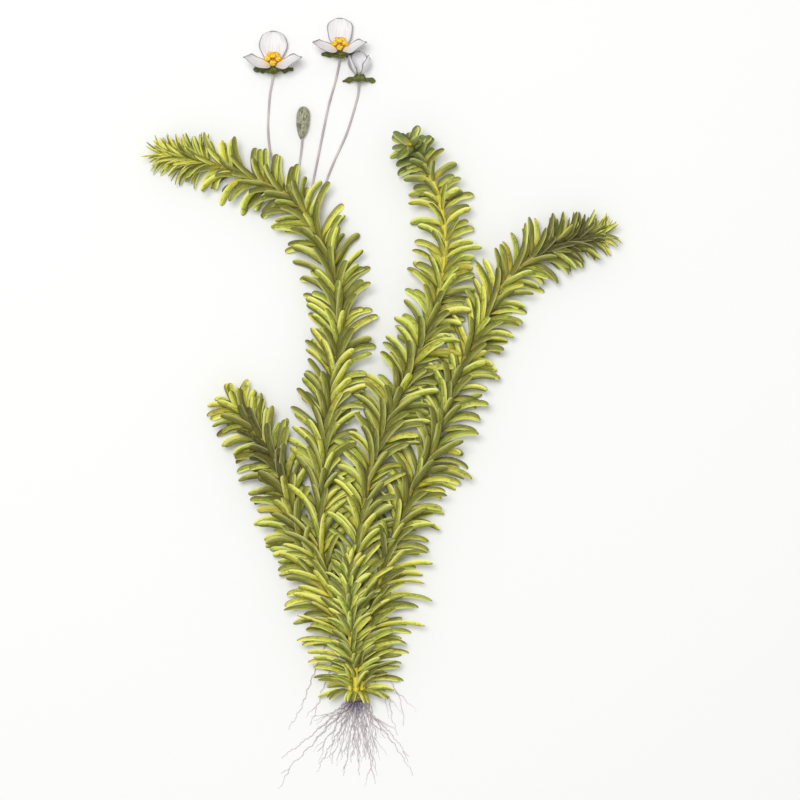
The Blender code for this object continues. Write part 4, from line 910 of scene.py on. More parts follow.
class Form:
    """A mesh that is put together from parts, with values of its own at each point."""

    def __init__(self):
        self.points = []
        self.faces = []
        self.places = []
        self.colours = []
        self.shades = []
        self.feet = []
        self.margins = []
        self.spots = []
        self.kinds = []
        self.count = 0

    def add(self, points, faces, places, colours, shade=0.0, spots=None, kind=0, margins=None, foot=0.0):
        """Add a part: points, faces, what each point's place in the part is, and its colour."""
        points = np.asarray(points, dtype=float)
        shift = self.count
        self.points.append(points)
        self.faces += [tuple(shift + corner for corner in face) for face in faces]
        self.places.append(np.asarray(places, dtype=float))
        self.colours.append(np.broadcast_to(np.asarray(colours, dtype=float), points.shape))
        self.shades.append(np.full(len(points), shade))
        self.feet.append(np.full(len(points), foot))
        self.margins.append(np.full(len(points), -1) if margins is None else
                            np.where(margins, len(self.margins), -1))
        if spots is not None:
            self.spots.append(spots)
        self.kinds += [kind] * len(faces)
        self.count += len(points)

    def mesh(self, name):
        """The finished mesh, smooth but for the sharp margins of blades."""
        points = np.concatenate(self.points)
        points[:, 2] = np.maximum(points[:, 2], 0.0)
        mesh = bpy.data.meshes.new(name)
        mesh.from_pydata(points.tolist(), [], self.faces)
        mesh.polygons.foreach_set("use_smooth", [True] * len(mesh.polygons))
        mesh.polygons.foreach_set("material_index", self.kinds)
        if self.spots:
            layer = mesh.uv_layers.new(name="OFBake")
            layer.data.foreach_set("uv", np.concatenate(self.spots).astype(np.float32).ravel())
        margins = np.concatenate(self.margins)
        ends = np.empty(2 * len(mesh.edges), dtype=np.int32)
        mesh.edges.foreach_get("vertices", ends)
        ends = margins[ends.reshape(-1, 2)]
        mesh.edges.foreach_set("use_edge_sharp", (ends[:, 0] >= 0) & (ends[:, 0] == ends[:, 1]))
        colours = np.concatenate(self.colours)
        colours = np.hstack([colours, np.ones((len(colours), 1))])
        for title, kind, field, values in (
                ("place", "FLOAT_VECTOR", "vector", np.concatenate(self.places)),
                ("own_colour", "FLOAT_COLOR", "color", colours),
                ("shade", "FLOAT", "value", np.concatenate(self.shades)),
                ("foot", "FLOAT", "value", np.concatenate(self.feet))):
            attribute = mesh.attributes.new(title, kind, "POINT")
            attribute.data.foreach_set(field, values.astype(np.float32).ravel())
        return mesh


def put_piece(name, form, materials, slot, *nodes):
    """Put a form in the scene as a piece of the plant that stands for its solids."""
    mesh = form.mesh(name)
    for material in materials:
        mesh.materials.append(material)
    piece = bpy.data.objects.new(name, mesh)
    bpy.context.scene.collection.objects.link(piece)
    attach(piece, "root")
    if nodes:
        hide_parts(*nodes)


def blade_template():
    """Faces of a thin blade, each face corner's place in the texture, and which points are on its margin.

    The upper side's points come first, station by station, then those of the lower side without the
    margins, which both sides share, and last the tip.
    """
    rows = len(STATIONS)
    wide = len(COLUMNS)
    inner = wide - 2
    tip = rows * wide + rows * inner

    def lower(row, column):
        """The lower side's point at a row and column."""
        if column in (0, wide - 1):
            return row * wide + column
        return rows * wide + row * inner + column - 1

    faces = []
    spots = []
    for lower_side in (False, True):
        for row in range(rows):
            for column in range(wide - 1):
                corners = [(row, column), (row, column + 1), (row + 1, column + 1), (row + 1, column)]
                if row == rows - 1:
                    corners = [(row, column), (row, column + 1), (row + 1, column)]
                if lower_side:
                    corners.reverse()
                names = []
                for at_row, at_column in corners:
                    if at_row == rows:
                        names.append(tip)
                    elif lower_side:
                        names.append(lower(at_row, at_column))
                    else:
                        names.append(at_row * wide + at_column)
                    share = 1.0 if at_row == rows else STATIONS[at_row]
                    across = 0.5 if at_row == rows else 0.5 + 0.5 * COLUMNS[at_column]
                    spot = UV_MARGIN + (1.0 - 2 * UV_MARGIN) * across
                    spots.append((0.5 * (spot + lower_side), UV_MARGIN + (1.0 - 2 * UV_MARGIN) * share))
                faces.append(tuple(names))
    foot = [lower(0, column) for column in range(wide)]
    foot += list(range(wide - 2, 0, -1))
    faces.append(tuple(foot))
    spots += [UV_CORNER] * len(foot)
    margin = np.zeros(tip + 1, dtype=bool)
    for row in range(rows):
        margin[row * wide] = True
        margin[row * wide + wide - 1] = True
    margin[tip] = True
    return faces, np.array(spots), margin


BLADE_FACES, BLADE_SPOTS, BLADE_MARGIN = blade_template()


def between(values, share):
    """Smoothly between the rows of an array whose rows are even steps of a length."""
    place = share * (len(values) - 1)
    index = min(int(place), len(values) - 2)
    here, after = values[index], values[index + 1]
    before = values[index - 1] if index else 2 * here - after
    beyond = values[index + 2] if index + 2 < len(values) else 2 * after - here
    return curved(before, here, after, beyond, place - index)


def strap_width(share, pointed):
    """A leaf's width along its length: a narrowed foot, even sides and a round or pointed end."""
    width = FOOT_WIDTH + (1.0 - FOOT_WIDTH) * smoothed(share, 0.0, FOOT_STRETCH)
    end_start = LEAF_END_START - LEAF_POINT_START * pointed
    if share > end_start:
        past = (share - end_start) / (1.0 - end_start)
        width *= math.sqrt(max(1.0 - past ** (LEAF_END_ROUNDING - LEAF_POINT_ROUNDING * pointed), 0.0))
    return width


def blade(line, width_at, thickness, channel, ripple, chance):
    """Points of a thin blade along a middle line, and for each its share along and across it."""
    points = np.array([tuple(point) for point, _, _ in line])
    across = np.array([tuple(direction) for _, direction, _ in line])
    face = np.array([tuple(direction) for _, _, direction in line])
    phase = chance.uniform(0.0, math.tau)
    waves = chance.uniform(*RIPPLE_WAVES)
    ripple *= chance.uniform(*RIPPLE_RANGE)
    channel *= chance.uniform(*CHANNEL_RANGE)
    number = chance.random()
    upper = []
    lower = []
    places = []
    lower_places = []
    for share in STATIONS:
        middle = between(points, share)
        aside = between(across, share)
        out = between(face, share)
        half = width_at(share) / 2
        thick = thickness * (FOOT_THICKNESS - TIP_THINNING * share)
        for column in COLUMNS:
            turn = phase + math.tau * waves * share + RIPPLE_SLANT * column
            wave = ripple * math.sin(turn) * abs(column) * min(share * RIPPLE_ONSET, 1.0)
            rise = channel * half * abs(column) ** FOLD_SHARPNESS + wave
            top = middle + aside * (half * column) + out * rise
            body = thick * (1.0 - column ** 4)
            upper.append(top + out * (body * UPPER_BULGE))
            places.append((share, column, number))
            if abs(column) < 1.0:
                keel = BLADE_KEEL if column else MIDRIB_KEEL
                lower.append(top - out * (body * keel))
                lower_places.append((share, column, number))
    return np.array(upper + lower + [points[-1]]), np.array(places + lower_places + [(1.0, 0.0, number)])


def leaf_colour(tones, facing_up, chance, young):
    """A leaf's own colour, how strongly painted shade darkens one of its sides and which, and how yellow its
    foot is.
    """
    dark, yellow, cool, brown, _, stem_open = tones
    colour = YOUNG_GREEN if young else LEAF_GREEN
    in_front = facing_up * (1.0 - FRONT_LOSS_OPEN * stem_open) * (1.0 - FRONT_LOSS_YELLOW * yellow * yellow)
    dark_chance = clamp(DARK_CHANCE + DARK_BY_TONE * dark + DARK_BY_FRONT * in_front, 0.0, DARK_MOST)
    yellow_chance = (1.0 - dark_chance) * clamp(YELLOW_CHANCE + YELLOW_BY_TONE * yellow)
    mood = chance.random()
    if mood < dark_chance:
        colour = mixed(colour, LEAF_DARK, chance.uniform(*DARK_AMOUNT))
    elif mood < dark_chance + yellow_chance:
        golden = chance.random() < GOLD_CHANCE + GOLD_BY_TONE * yellow
        colour = mixed(colour, LEAF_GOLD if golden else LEAF_YELLOW, chance.uniform(*YELLOW_AMOUNT))
    else:
        colour = mixed(colour, LEAF_FRESH, chance.uniform(0.0, 1.0))
    colour = mixed(colour, LEAF_COOL, clamp(cool * chance.uniform(*COOL_RANGE)))
    browning = brown * (BROWN_AMOUNT + BROWN_BY_FACING * facing_up) * chance.uniform(*BROWN_RANGE)
    colour = mixed(colour, LEAF_BROWN, clamp(browning))
    shaded_side = chance.uniform(*PAINTED_SHADE_RANGE) * (1.0 if chance.random() < 0.5 else -1.0)
    foot = clamp(chance.uniform(*FOOT_TINT_RANGE) + FOOT_BY_OPEN * stem_open + FOOT_BY_YELLOW * yellow
                 - FOOT_BY_FACING * facing_up)
    return colour, shaded_side, foot


def add_leaf(form, line, width, pointed, tones, facing_up, chance, young=False, spots=None):
    """Add one fine leaf in its own colour."""
    colour, shaded_side, foot_tint = leaf_colour(tones, facing_up, chance, young)
    points, places = blade(line, lambda part: width * strap_width(part, pointed),
                           LEAF_THICKNESS, LEAF_CHANNEL, LEAF_RIPPLE, chance)
    form.add(points, BLADE_FACES, places, colour, shaded_side, spots, margins=BLADE_MARGIN, foot=foot_tint)


def add_stem(form, route, distances, tones):
    """Add a shoot's round stem, a little swollen at its whorls."""
    length = route_length(route)
    points = []
    places = []
    colours = []
    for index in range(0, len(route), STEM_RING_STEPS):
        distance = index * ROUTE_STEP
        share = distance / length
        centre, _, side, up = frame_on(route, distance)
        nearest = min(abs(distance - at) for at in distances)
        swell = 1.0 + NODE_SWELL * math.exp(-(nearest / NODE_REACH) ** 2)
        radius = stem_radius(share) * STEM_FINE_SHARE * swell
        colour = mixed(STEM_BROWN, STEM_YELLOW, table_at(tones, share)[0])
        for turn, around in circle(STEM_SIDES):
            ridge = 1.0 + STEM_RIDGE * math.cos(STEM_RIDGES * around)
            points.append(centre + (side * math.cos(around) + up * math.sin(around)) * (radius * ridge))
            places.append((distance / MM, turn, 0.0))
            colours.append(colour)
    rings = len(points) // STEM_SIDES
    faces = ring_faces(rings, STEM_SIDES)
    strip = UV_LEAF_TOP + UV_STRIP_GAP
    spots = []
    for face in faces[:-2]:
        first, corner = divmod(face[0], STEM_SIDES)
        for u, v in ((first, corner), (first, corner + 1), (first + 1, corner + 1), (first + 1, corner)):
            spots.append((u / (rings - 1), strip + (UV_STRIP_TOP - UV_LEAF_TOP) * v / STEM_SIDES))
    for end in UV_STRIP_ENDS:
        spots += [(end, strip)] * STEM_SIDES
    form.add(points, faces, places, colours, spots=np.array(spots), kind=1)


def circle(sides):
    """A ring's corners, each as its share of the full turn and its angle."""
    return [(corner / sides, math.tau * corner / sides) for corner in range(sides)]


def ring_faces(rings, sides):
    """Faces of a tube of rings that run round one after another, closed at both ends."""
    faces = []
    for ring in range(rings - 1):
        first = ring * sides
        for corner in range(sides):
            after = (corner + 1) % sides
            faces.append((first + corner, first + after, first + sides + after, first + sides + corner))
    faces.append(tuple(range(sides - 1, -1, -1)))
    faces.append(tuple((rings - 1) * sides + corner for corner in range(sides)))
    return faces


def leaf_foot(stem_frame, azimuth, share):
    """Where a leaf leaves the stem, and how far that side faces up."""
    around = math.radians(azimuth)
    outward = stem_frame[2] * math.cos(around) + stem_frame[3] * math.sin(around)
    foot = stem_frame[0] + outward * (stem_radius(share) * math.sqrt(0.5))
    return foot, max(math.sin(around), 0.0)


def whorl_leaves(name, route, distances, habit, tones):
    """The leaves that the shoot's solid has, whorl by whorl."""
    length = route_length(route)
    finder = corner_finder(name)
    leaves = []
    for whorl, distance in enumerate(distances):
        share = distance / length
        stem_frame = frame_on(route, distance)
        turn = WHORL_OFFSET if whorl % 2 else -WHORL_OFFSET
        for leaf in range(WHORL_LEAVES):
            azimuth = turn + 360.0 / WHORL_LEAVES * leaf
            foot, facing_up = leaf_foot(stem_frame, azimuth, share)
            seed = f"{name} {whorl} {leaf}"
            grown = grown_line(finder, stem_frame, foot, azimuth, table_at(habit, share), seed)
            if grown:
                leaves.append(Leaf(*grown, table_at(tones, share), facing_up, seed, share))
    return leaves


def add_between(leaves, trees, route, distance, azimuth, habit, tones, seed, length_range):
    """Add a leaf that the solids don't have, where its strip crosses nothing."""
    share = distance / route_length(route)
    stem_frame = frame_on(route, distance)
    foot, facing_up = leaf_foot(stem_frame, azimuth, share)
    grown = between_line(trees, stem_frame, foot, azimuth, habit, seed, length_range)
    if grown:
        leaves.append(Leaf(*grown, table_at(tones, share), facing_up, seed, share))


def add_between_whorls(leaves, trees, name, route, distances, habit, tones):
    """Add the leaves that stand between each two whorls."""
    length = route_length(route)
    for whorl, (low, high) in enumerate(zip(distances, distances[1:])):
        distance = (low + high) / 2
        share = distance / length
        stem_open = table_at(tones, share)[-1]
        longer = 1.0 + BASE_LENGTHENING * clamp(1.0 - share / BASE_SHARE)
        for azimuth, amount in BETWEEN_LEAVES:
            seed = f"{name} between {whorl} {azimuth}"
            thinning = max(math.sin(math.radians(azimuth)), SIDE_THINNING)
            if random.Random(seed).random() <= amount * (1.0 - stem_open * thinning):
                add_between(leaves, trees, route, distance, azimuth, table_at(habit, share), tones, seed,
                            [limit * longer for limit in BETWEEN_LENGTH])


def add_tuft(leaves, trees, name, route, tones):
    """Add the fine leaves of a shoot's brushy tip, which go up it in a spiral."""
    count, reach, width, lowest, last = TUFTS[name]
    length = route_length(route)
    for index in range(count):
        part = index / (count - 1)
        leaf_length, start, end = mixed(lowest, last, part)
        add_between(leaves, trees, route, length - reach * (1.0 - part), GOLDEN_ANGLE * index % 360.0,
                    (0.0, leaf_length, width, start, end, start, end), tones, f"{name} tuft {index}",
                    TUFT_LENGTH)


def build_shoot(trees, name, route_mm, habit, tones, stem_tones, slot, materials):
    """One shoot's stem and fine leaves, as one mesh in place of its solid."""
    route = smooth_route(route_mm)
    distances = whorl_distances(route, habit)
    form = Form()
    add_stem(form, route, distances, stem_tones)
    leaves = whorl_leaves(name, route, distances, habit, tones)
    add_between_whorls(leaves, trees, name, route, distances, habit, tones)
    if name in TUFTS:
        add_tuft(leaves, trees, name, route, tones)
    rows = math.ceil(len(leaves) / UV_COLUMNS)
    for index, leaf in enumerate(leaves):
        chance = random.Random(f"{leaf.seed} look")
        pointed, stem_open = leaf.tones[-2:]
        width = leaf.width * FINE_WIDTH * (1.0 - OPEN_NARROWING * stem_open * leaf.facing_up)
        width *= 1.0 - LOWER_NARROWING * clamp(LOWER_SHARE - leaf.share, 0.0, LOWER_MOST)
        cell = (index % UV_COLUMNS, index // UV_COLUMNS)
        spots = (BLADE_SPOTS + cell) * (1.0 / UV_COLUMNS, UV_LEAF_TOP / rows)
        add_leaf(form, leaf.line, width, pointed, leaf.tones, leaf.facing_up, chance,
                 slot == "young_leaf", spots)
    put_piece(f"{name}_fine", form, materials, slot, name)


def add_tube(form, path, radii, sides, colours):
    """Add a round tube along a path, with a radius and a colour for each of its points."""
    points = []
    places = []
    corner_colours = []
    side = None
    for index, (centre, radius) in enumerate(zip(path, radii)):
        along = step_at(path, index).normalized()
        if side is None:
            side = along.cross(UP) if abs(along.z) < STEEP else along.cross(RIGHT)
        side = (side - along * side.dot(along)).normalized()
        other = along.cross(side)
        for turn, around in circle(sides):
            points.append(centre + (side * math.cos(around) + other * math.sin(around)) * radius)
            places.append((index * ROUTE_STEP / MM, turn, 0.0))
            corner_colours.append(colours[index])
    form.add(points, ring_faces(len(path), sides), places, corner_colours)


def build_crown(materials):
    """The rootstock: a lumpy short body with rounded ends, yellow-olive above and mauve at its foot."""
    form = Form()
    points = []
    places = []
    colours = []
    for ring in range(CROWN_RINGS):
        share = ring / (CROWN_RINGS - 1)
        radius = CROWN_RADIUS + (CROWN_FOOT_RADIUS - CROWN_RADIUS) * share
        to_end = min(share, 1.0 - share) / CROWN_ROUNDING
        rounding = math.sqrt(max(1.0 - (1.0 - min(to_end, 1.0)) ** 2, CROWN_END))
        for turn, around in circle(CROWN_SIDES):
            direction = Vector((math.cos(around), 0.0, math.sin(around)))
            place = Vector((CROWN_X, CROWN_TOP - CROWN_LENGTH * share, radius)) + direction * radius
            lump = noise.noise(place * CROWN_LUMPS) * CROWN_LUMP
            ridge = CROWN_RIDGE * math.cos(CROWN_RIDGES * around + CROWN_TWIST * share)
            reach = (radius + lump + ridge) * rounding
            points.append(Vector((CROWN_X, place.y, radius)) + direction * reach)
            places.append((share, turn, 0.0))
            colours.append(mixed(CROWN_OLIVE, CROWN_MAUVE, smoothed(share, *CROWN_TINT)))
    form.add(points, ring_faces(CROWN_RINGS, CROWN_SIDES), places, colours)
    put_piece("crown_fine", form, materials, "crown", "crown")


def root_points(index):
    """The solid root's route from the crown's foot down to the floor and out to its tip."""
    chance = random.Random(f"root {index}")
    height, half_width, landing = ROOT_ROWS[index % len(ROOT_ROWS)]
    share = index / (len(ROOT_TIPS) - 1)
    foot_y = CROWN_TOP - CROWN_LENGTH - GAP
    start = Vector((CROWN_X + (2 * share - 1) * half_width, foot_y, 0.0))
    tip = Vector((*ROOT_TIPS[index], 0.0)) * MM
    reach = (tip - start).length
    sideways = (tip - start).normalized().cross(UP)
    phase = chance.uniform(0.0, math.tau)
    points = []
    for step in range(ROOT_POINTS):
        part = step / (ROOT_POINTS - 1)
        place = start.lerp(tip, part)
        place += sideways * (ROOT_WAVE * part * math.sin(phase + ROOT_WAVE_TURN * part))
        place.z = height + (ROOT_RADIUS - height) * smoothed(part * reach, 0.0, landing)
        points.append(place)
    return points


def wiggled(path, radius, chance):
    """A root's path with the small irregular waves that a real one has."""
    phases = [chance.uniform(0.0, math.tau) for _ in ROOT_WIGGLES]
    wiggles = [(height * chance.uniform(*WIGGLE_HEIGHTS), length * chance.uniform(*WIGGLE_LENGTHS))
               for height, length in ROOT_WIGGLES]
    wavy = []
    for index, point in enumerate(path):
        sideways = step_at(path, index).normalized().cross(UP).normalized()
        distance = index * ROUTE_STEP
        ease = smoothed(distance, 0.0, WIGGLE_ONSET)
        offset = sum(height * math.sin(phase + math.tau * distance / length)
                     for phase, (height, length) in zip(phases, wiggles))
        moved = point + sideways * (offset * ease)
        moved.z = max(moved.z, radius)
        wavy.append(moved)
    return wavy


def root_colour(point, thinness):
    """Purple-dark near the crown, grey further out and pale at thin tips."""
    away = math.hypot(point.x - CROWN_X, point.y - CROWN_TOP + CROWN_LENGTH)
    colour = mixed(ROOT_PURPLE, ROOT_GREY, smoothed(away, 0.0, ROOT_DARK_REACH))
    spots = 0.5 * noise.noise(point * ROOT_SPOTS)
    return mixed(colour, ROOT_PALE, clamp(thinness * PALE_BY_THINNESS + PALE_BY_SPOTS * spots))


def add_root(form, path, foot_radius, end_radius, chance):
    """Add one tapered wavy root and return its path."""
    path = wiggled(path, end_radius, chance)
    steps = len(path) - 1
    radii = [foot_radius + (end_radius - foot_radius) * (index / steps) ** ROOT_TAPER
             for index in range(steps + 1)]
    path = [Vector((point.x, point.y, max(point.z, radius))) for point, radius in zip(path, radii)]
    colours = [root_colour(point, smoothed(index / steps, *ROOT_PALING)) for index, point in enumerate(path)]
    add_tube(form, path, radii, ROOT_SIDES, colours)
    return path


def add_side_roots(form, path, count, chance):
    """Add fine roots that branch off a root and run on beside it."""
    for branch in range(count):
        start = int(len(path) * chance.uniform(*SIDE_ROOT_STARTS))
        ahead = step_at(path, start, SIDE_ROOT_REACH)
        lean = math.radians(chance.uniform(*SIDE_ROOT_LEAN)) * (1 if branch % 2 else -1)
        heading = math.atan2(ahead.y, ahead.x) + lean
        length = chance.uniform(*SIDE_ROOT_LENGTH)
        steps = int(length / ROUTE_STEP)
        point = path[start].copy()
        route = []
        for _ in range(steps):
            route.append(point.copy())
            heading -= lean * SIDE_ROOT_BEND / steps
            point = point + Vector((math.cos(heading), math.sin(heading), 0.0)) * ROUTE_STEP
            point.z = max(point.z - SIDE_ROOT_SINK * ROUTE_STEP, SIDE_ROOT_RADIUS)
        add_root(form, route, SIDE_ROOT_RADIUS, SIDE_ROOT_RADIUS * SIDE_ROOT_TAPER, chance)


def twin_root(share, chance):
    """A thin root's path: out from the crown's side, then down beside the others."""
    low, high = TWIN_ROOT_FEET
    aside = low + (high - low) * share - CROWN_X
    height = chance.uniform(*TWIN_ROOT_HEIGHTS) * MM
    start = Vector((CROWN_X + clamp(aside, -TWIN_ROOT_REACH, TWIN_ROOT_REACH),
                    CROWN_TOP - CROWN_LENGTH * TWIN_ROOT_START, height))
    end_sway, middle_sway = TWIN_ROOT_SWAYS
    end = Vector((CROWN_X + aside * TWIN_ROOT_FAN + chance.uniform(-end_sway, end_sway) * MM,
                  chance.uniform(*TWIN_ROOT_ENDS), ROOT_END_RADIUS))
    turned = Vector((CROWN_X + aside, TWIN_ROOT_BEND_Y - abs(aside) * TWIN_ROOT_SLOPE, ROOT_RADIUS))
    arch = Vector((aside * TWIN_ROOT_BULGE, TWIN_ROOT_ARCH, height * TWIN_ROOT_LIFT))
    sway = Vector((chance.uniform(-middle_sway, middle_sway) * MM, 0.0, 0.0))
    return smooth_path([start, start.lerp(turned, 0.5) + arch, turned, turned.lerp(end, 0.5) + sway, end])


def build_skirt(materials):
    """Short leaves at the shoots' feet that hang over the crown."""
    centre = Vector((CROWN_X, CROWN_TOP - SKIRT_SINK, CROWN_RADIUS))
    stem_frame = (centre, Vector((0.0, 1.0, 0.0)), RIGHT, UP)
    form = Form()
    for index, (azimuth, length, width, start, end) in enumerate(SKIRT_LEAVES):
        around = math.radians(azimuth)
        foot = centre + Vector((math.cos(around), 0.0, math.sin(around))) * (CROWN_RADIUS * SKIRT_FOOT)
        facing_up = max(math.sin(around), 0.0)
        start /= 1.0 - UPPER_START_EASE * facing_up
        end /= 1.0 - UPPER_END_EASE * facing_up
        habit = (0.0, length, width, start, end, start, end)
        line, leaf_width = leaf_line(stem_frame, foot, azimuth, habit, f"skirt {index}", 0)
        chance = random.Random(f"skirt {index} look")
        add_leaf(form, line, leaf_width, SKIRT_POINTED, SKIRT_TONES, SKIRT_FACING, chance)
    put_piece("crown_leaves", form, materials, "leaf")


def build_roots(materials):
    """The tuft of roots below the crown and the few that leave the stems above it, with side roots."""
    for index in range(len(ROOT_TIPS)):
        name = f"root_{index + 1:02d}"
        chance = random.Random(f"{name} fine")
        form = Form()
        path = add_root(form, smooth_path(root_points(index)), ROOT_FOOT_RADIUS, ROOT_END_RADIUS, chance)
        add_side_roots(form, path, SIDE_ROOTS, chance)
        for twin in range(TWIN_ROOTS):
            share = (index + twin / TWIN_ROOTS + chance.uniform(0.0, TWIN_ROOT_SHIFT)) / len(ROOT_TIPS)
            twin_path = add_root(form, twin_root(share, chance), TWIN_ROOT_RADIUS,
                                 ROOT_END_RADIUS * TWIN_ROOT_END, chance)
            add_side_roots(form, twin_path, TWIN_SIDE_ROOTS, chance)
        put_piece(f"{name}_fine", form, materials, "root", name)
    for index, route in enumerate(STEM_ROOT_ROUTES):
        name = f"stem_root_{index + 1}"
        chance = random.Random(f"{name} fine")
        form = Form()
        path = add_root(form, smooth_route(route), ROOT_RADIUS, ROOT_END_RADIUS, chance)
        add_side_roots(form, path, SIDE_ROOTS, chance)
        put_piece(f"{name}_fine", form, materials, "root", name)


def build_stalks(materials):
    """The flower stalks, thin and pale, from the flowers down to the left shoot."""
    stem_route = smooth_route(LEFT_TALL_ROUTE)
    for name, route_mm in STALKS:
        points = [Vector(point) * MM for point in [STALK_REACH[name]] + route_mm]
        nearest = min(stem_route, key=lambda point: (point - points[-1]).length)
        points.append(nearest + (points[-1] - nearest).normalized() * STEM_RADIUS * STALK_FOOT)
        path = smooth_path(points)
        steps = len(path) - 1
        radii = []
        colours = []
        for index, point in enumerate(path):
            tint = 0.5 + 0.5 * noise.noise(point * STALK_TINTS)
            radii.append(STALK_RADIUS * (1.0 + STALK_LUMP * noise.noise(point * STALK_LUMPS)))
            colour = mixed(STALK_PALE, STALK_MAUVE, smoothed(tint, *STALK_TINT_BAND))
            green = STALK_GREEN * smoothed(index / steps, STALK_GREEN_START, 1.0)
            colours.append(mixed(colour, LEAF_GREEN, green))
            point.z = max(point.z, radii[-1])
        form = Form()
        add_tube(form, path, radii, STALK_SIDES, colours)
        put_piece(f"{name}_fine", form, materials, "stalk", name)


def flower_frame(place_mm, tilt):
    """A flower's middle point, its axis, its right-hand direction and its upper side."""
    lean = math.radians(tilt)
    axis = Vector((0.0, math.cos(lean), math.sin(lean)))
    return Vector(place_mm) * MM, axis, RIGHT, RIGHT.cross(axis)


def round_axis(flower, turn):
    """The directions out from a flower's axis and across it, at a turn from its lowest side."""
    _, _, side, upper = flower
    around = math.radians(turn)
    outward = side * math.sin(around) - upper * math.cos(around)
    return outward, side * math.cos(around) + upper * math.sin(around)


def petal_width(share, pointed):
    """A petal's width along its length: a narrow foot, widest past the middle, a round or pointed end."""
    swell = math.sin(math.pi * PETAL_FULL_TURN * share ** PETAL_DELAY) ** PETAL_BLUNTNESS
    width = PETAL_FOOT_WIDTH + (1.0 - PETAL_FOOT_WIDTH) * swell
    start = SIDE_PETAL_POINT if pointed else PETAL_ROUND_START
    if share > start:
        past = (share - start) / (1.0 - start)
        if pointed:
            width *= (1.0 - past) ** SIDE_PETAL_ROUNDING
        else:
            width *= math.sqrt(max(1.0 - past * past, ROUND_END))
    return width


def shell_faces(rows, columns):
    """Faces of a closed sheet: those of its upper points, of as many lower ones, and of the rim."""
    shift = rows * columns
    faces = []
    for row in range(rows - 1):
        for column in range(columns - 1):
            first = row * columns + column
            upper = (first, first + 1, first + columns + 1, first + columns)
            faces.append(upper)
            faces.append(tuple(shift + corner for corner in (upper[0], upper[3], upper[2], upper[1])))
    rim = [row * columns for row in range(rows)]
    rim += [(rows - 1) * columns + column for column in range(1, columns)]
    rim += [row * columns + columns - 1 for row in range(rows - 2, -1, -1)]
    rim += list(range(columns - 2, 0, -1))
    for here, there in zip(rim, rim[1:] + rim[:1]):
        faces.append((here, there, shift + there, shift + here))
    return faces


def build_petal(name, flower, shape, scale, materials):
    """A thin cupped petal with a ruffled rim, as a closed shell."""
    turn, lean_foot, lean_tip, roll, broad = shape
    chance = random.Random(f"{name} fine")
    centre, axis, _, _ = flower
    outward, level = round_axis(flower, turn)
    roll = math.radians(math.copysign(roll, turn))
    place = centre + outward * PETAL_FOOT + axis * PETAL_RISE
    step = PETAL_LENGTH * scale / (PETAL_ROWS - 1)
    phase = chance.uniform(0.0, math.tau)
    pointed = turn != 0.0
    upper = []
    lower = []
    places = []
    for row in range(PETAL_ROWS):
        share = row / (PETAL_ROWS - 1)
        lean = math.radians(lean_foot + (lean_tip - lean_foot) * share)
        inner = axis * math.sin(lean) - outward * math.cos(lean)
        across = level * math.cos(roll) - inner * math.sin(roll)
        inner = inner * math.cos(roll) + level * math.sin(roll)
        width = PETAL_WIDTH * scale * broad * max(petal_width(share, pointed), PETAL_LEAST_WIDTH)
        for column in range(PETAL_COLUMNS + 1):
            offset = 2 * column / PETAL_COLUMNS - 1
            cup = PETAL_CUP * width * offset * offset
            rim = max(abs(offset), smoothed(share, RIM_START, 1.0)) ** RIM_SHARPNESS
            turned = phase + RUFFLE_ALONG * share + RUFFLE_ACROSS * offset
            ruffle = PETAL_RUFFLE * rim * math.sin(turned) * min(share * RUFFLE_ONSET, 1.0)
            wave = 1.0 + PETAL_WAVE * math.sin(phase + PETAL_WAVE_ALONG * share) * abs(offset)
            point = place + across * (offset * width / 2 * wave) + inner * (cup + ruffle)
            thick = PETAL_THICKNESS * (1.0 - PETAL_RIM_THINNING * offset ** 4)
            thick *= 1.0 - PETAL_END_THINNING * share
            upper.append(Vector((point.x, point.y, max(point.z, thick))))
            under = point - inner * thick
            lower.append(Vector((under.x, under.y, max(under.z, 0.0))))
            places.append((share, offset, width / MM))
        place = place + (axis * math.cos(lean) + outward * math.sin(lean)) * step
    form = Form()
    form.add(upper + lower, shell_faces(PETAL_ROWS, PETAL_COLUMNS + 1), places + places, PETAL_WHITE,
             float(name == GREY_PETAL))
    put_piece(f"{name}_fine", form, materials, "petal", name)


def sepal_width(share):
    """A sepal's width along its length, as a share of its full width."""
    start, stretch = SEPAL_SWELL
    return math.sin(math.pi * (start + stretch * share)) ** SEPAL_BLUNTNESS


def add_cup(form, flower):
    """Add the round cup that a flower's petals and sepals stand on."""
    centre, axis, _, _ = flower
    points = []
    for height, radius in CUP_PROFILE:
        for turn, _ in circle(CUP_SIDES):
            outward, _ = round_axis(flower, 360.0 * turn)
            points.append(centre + axis * (height * MM) + outward * (radius * MM))
    places = [(0.0, 0.0, 0.5)] * len(points)
    form.add(points, ring_faces(len(CUP_PROFILE), CUP_SIDES), places, SEPAL_OLIVE)


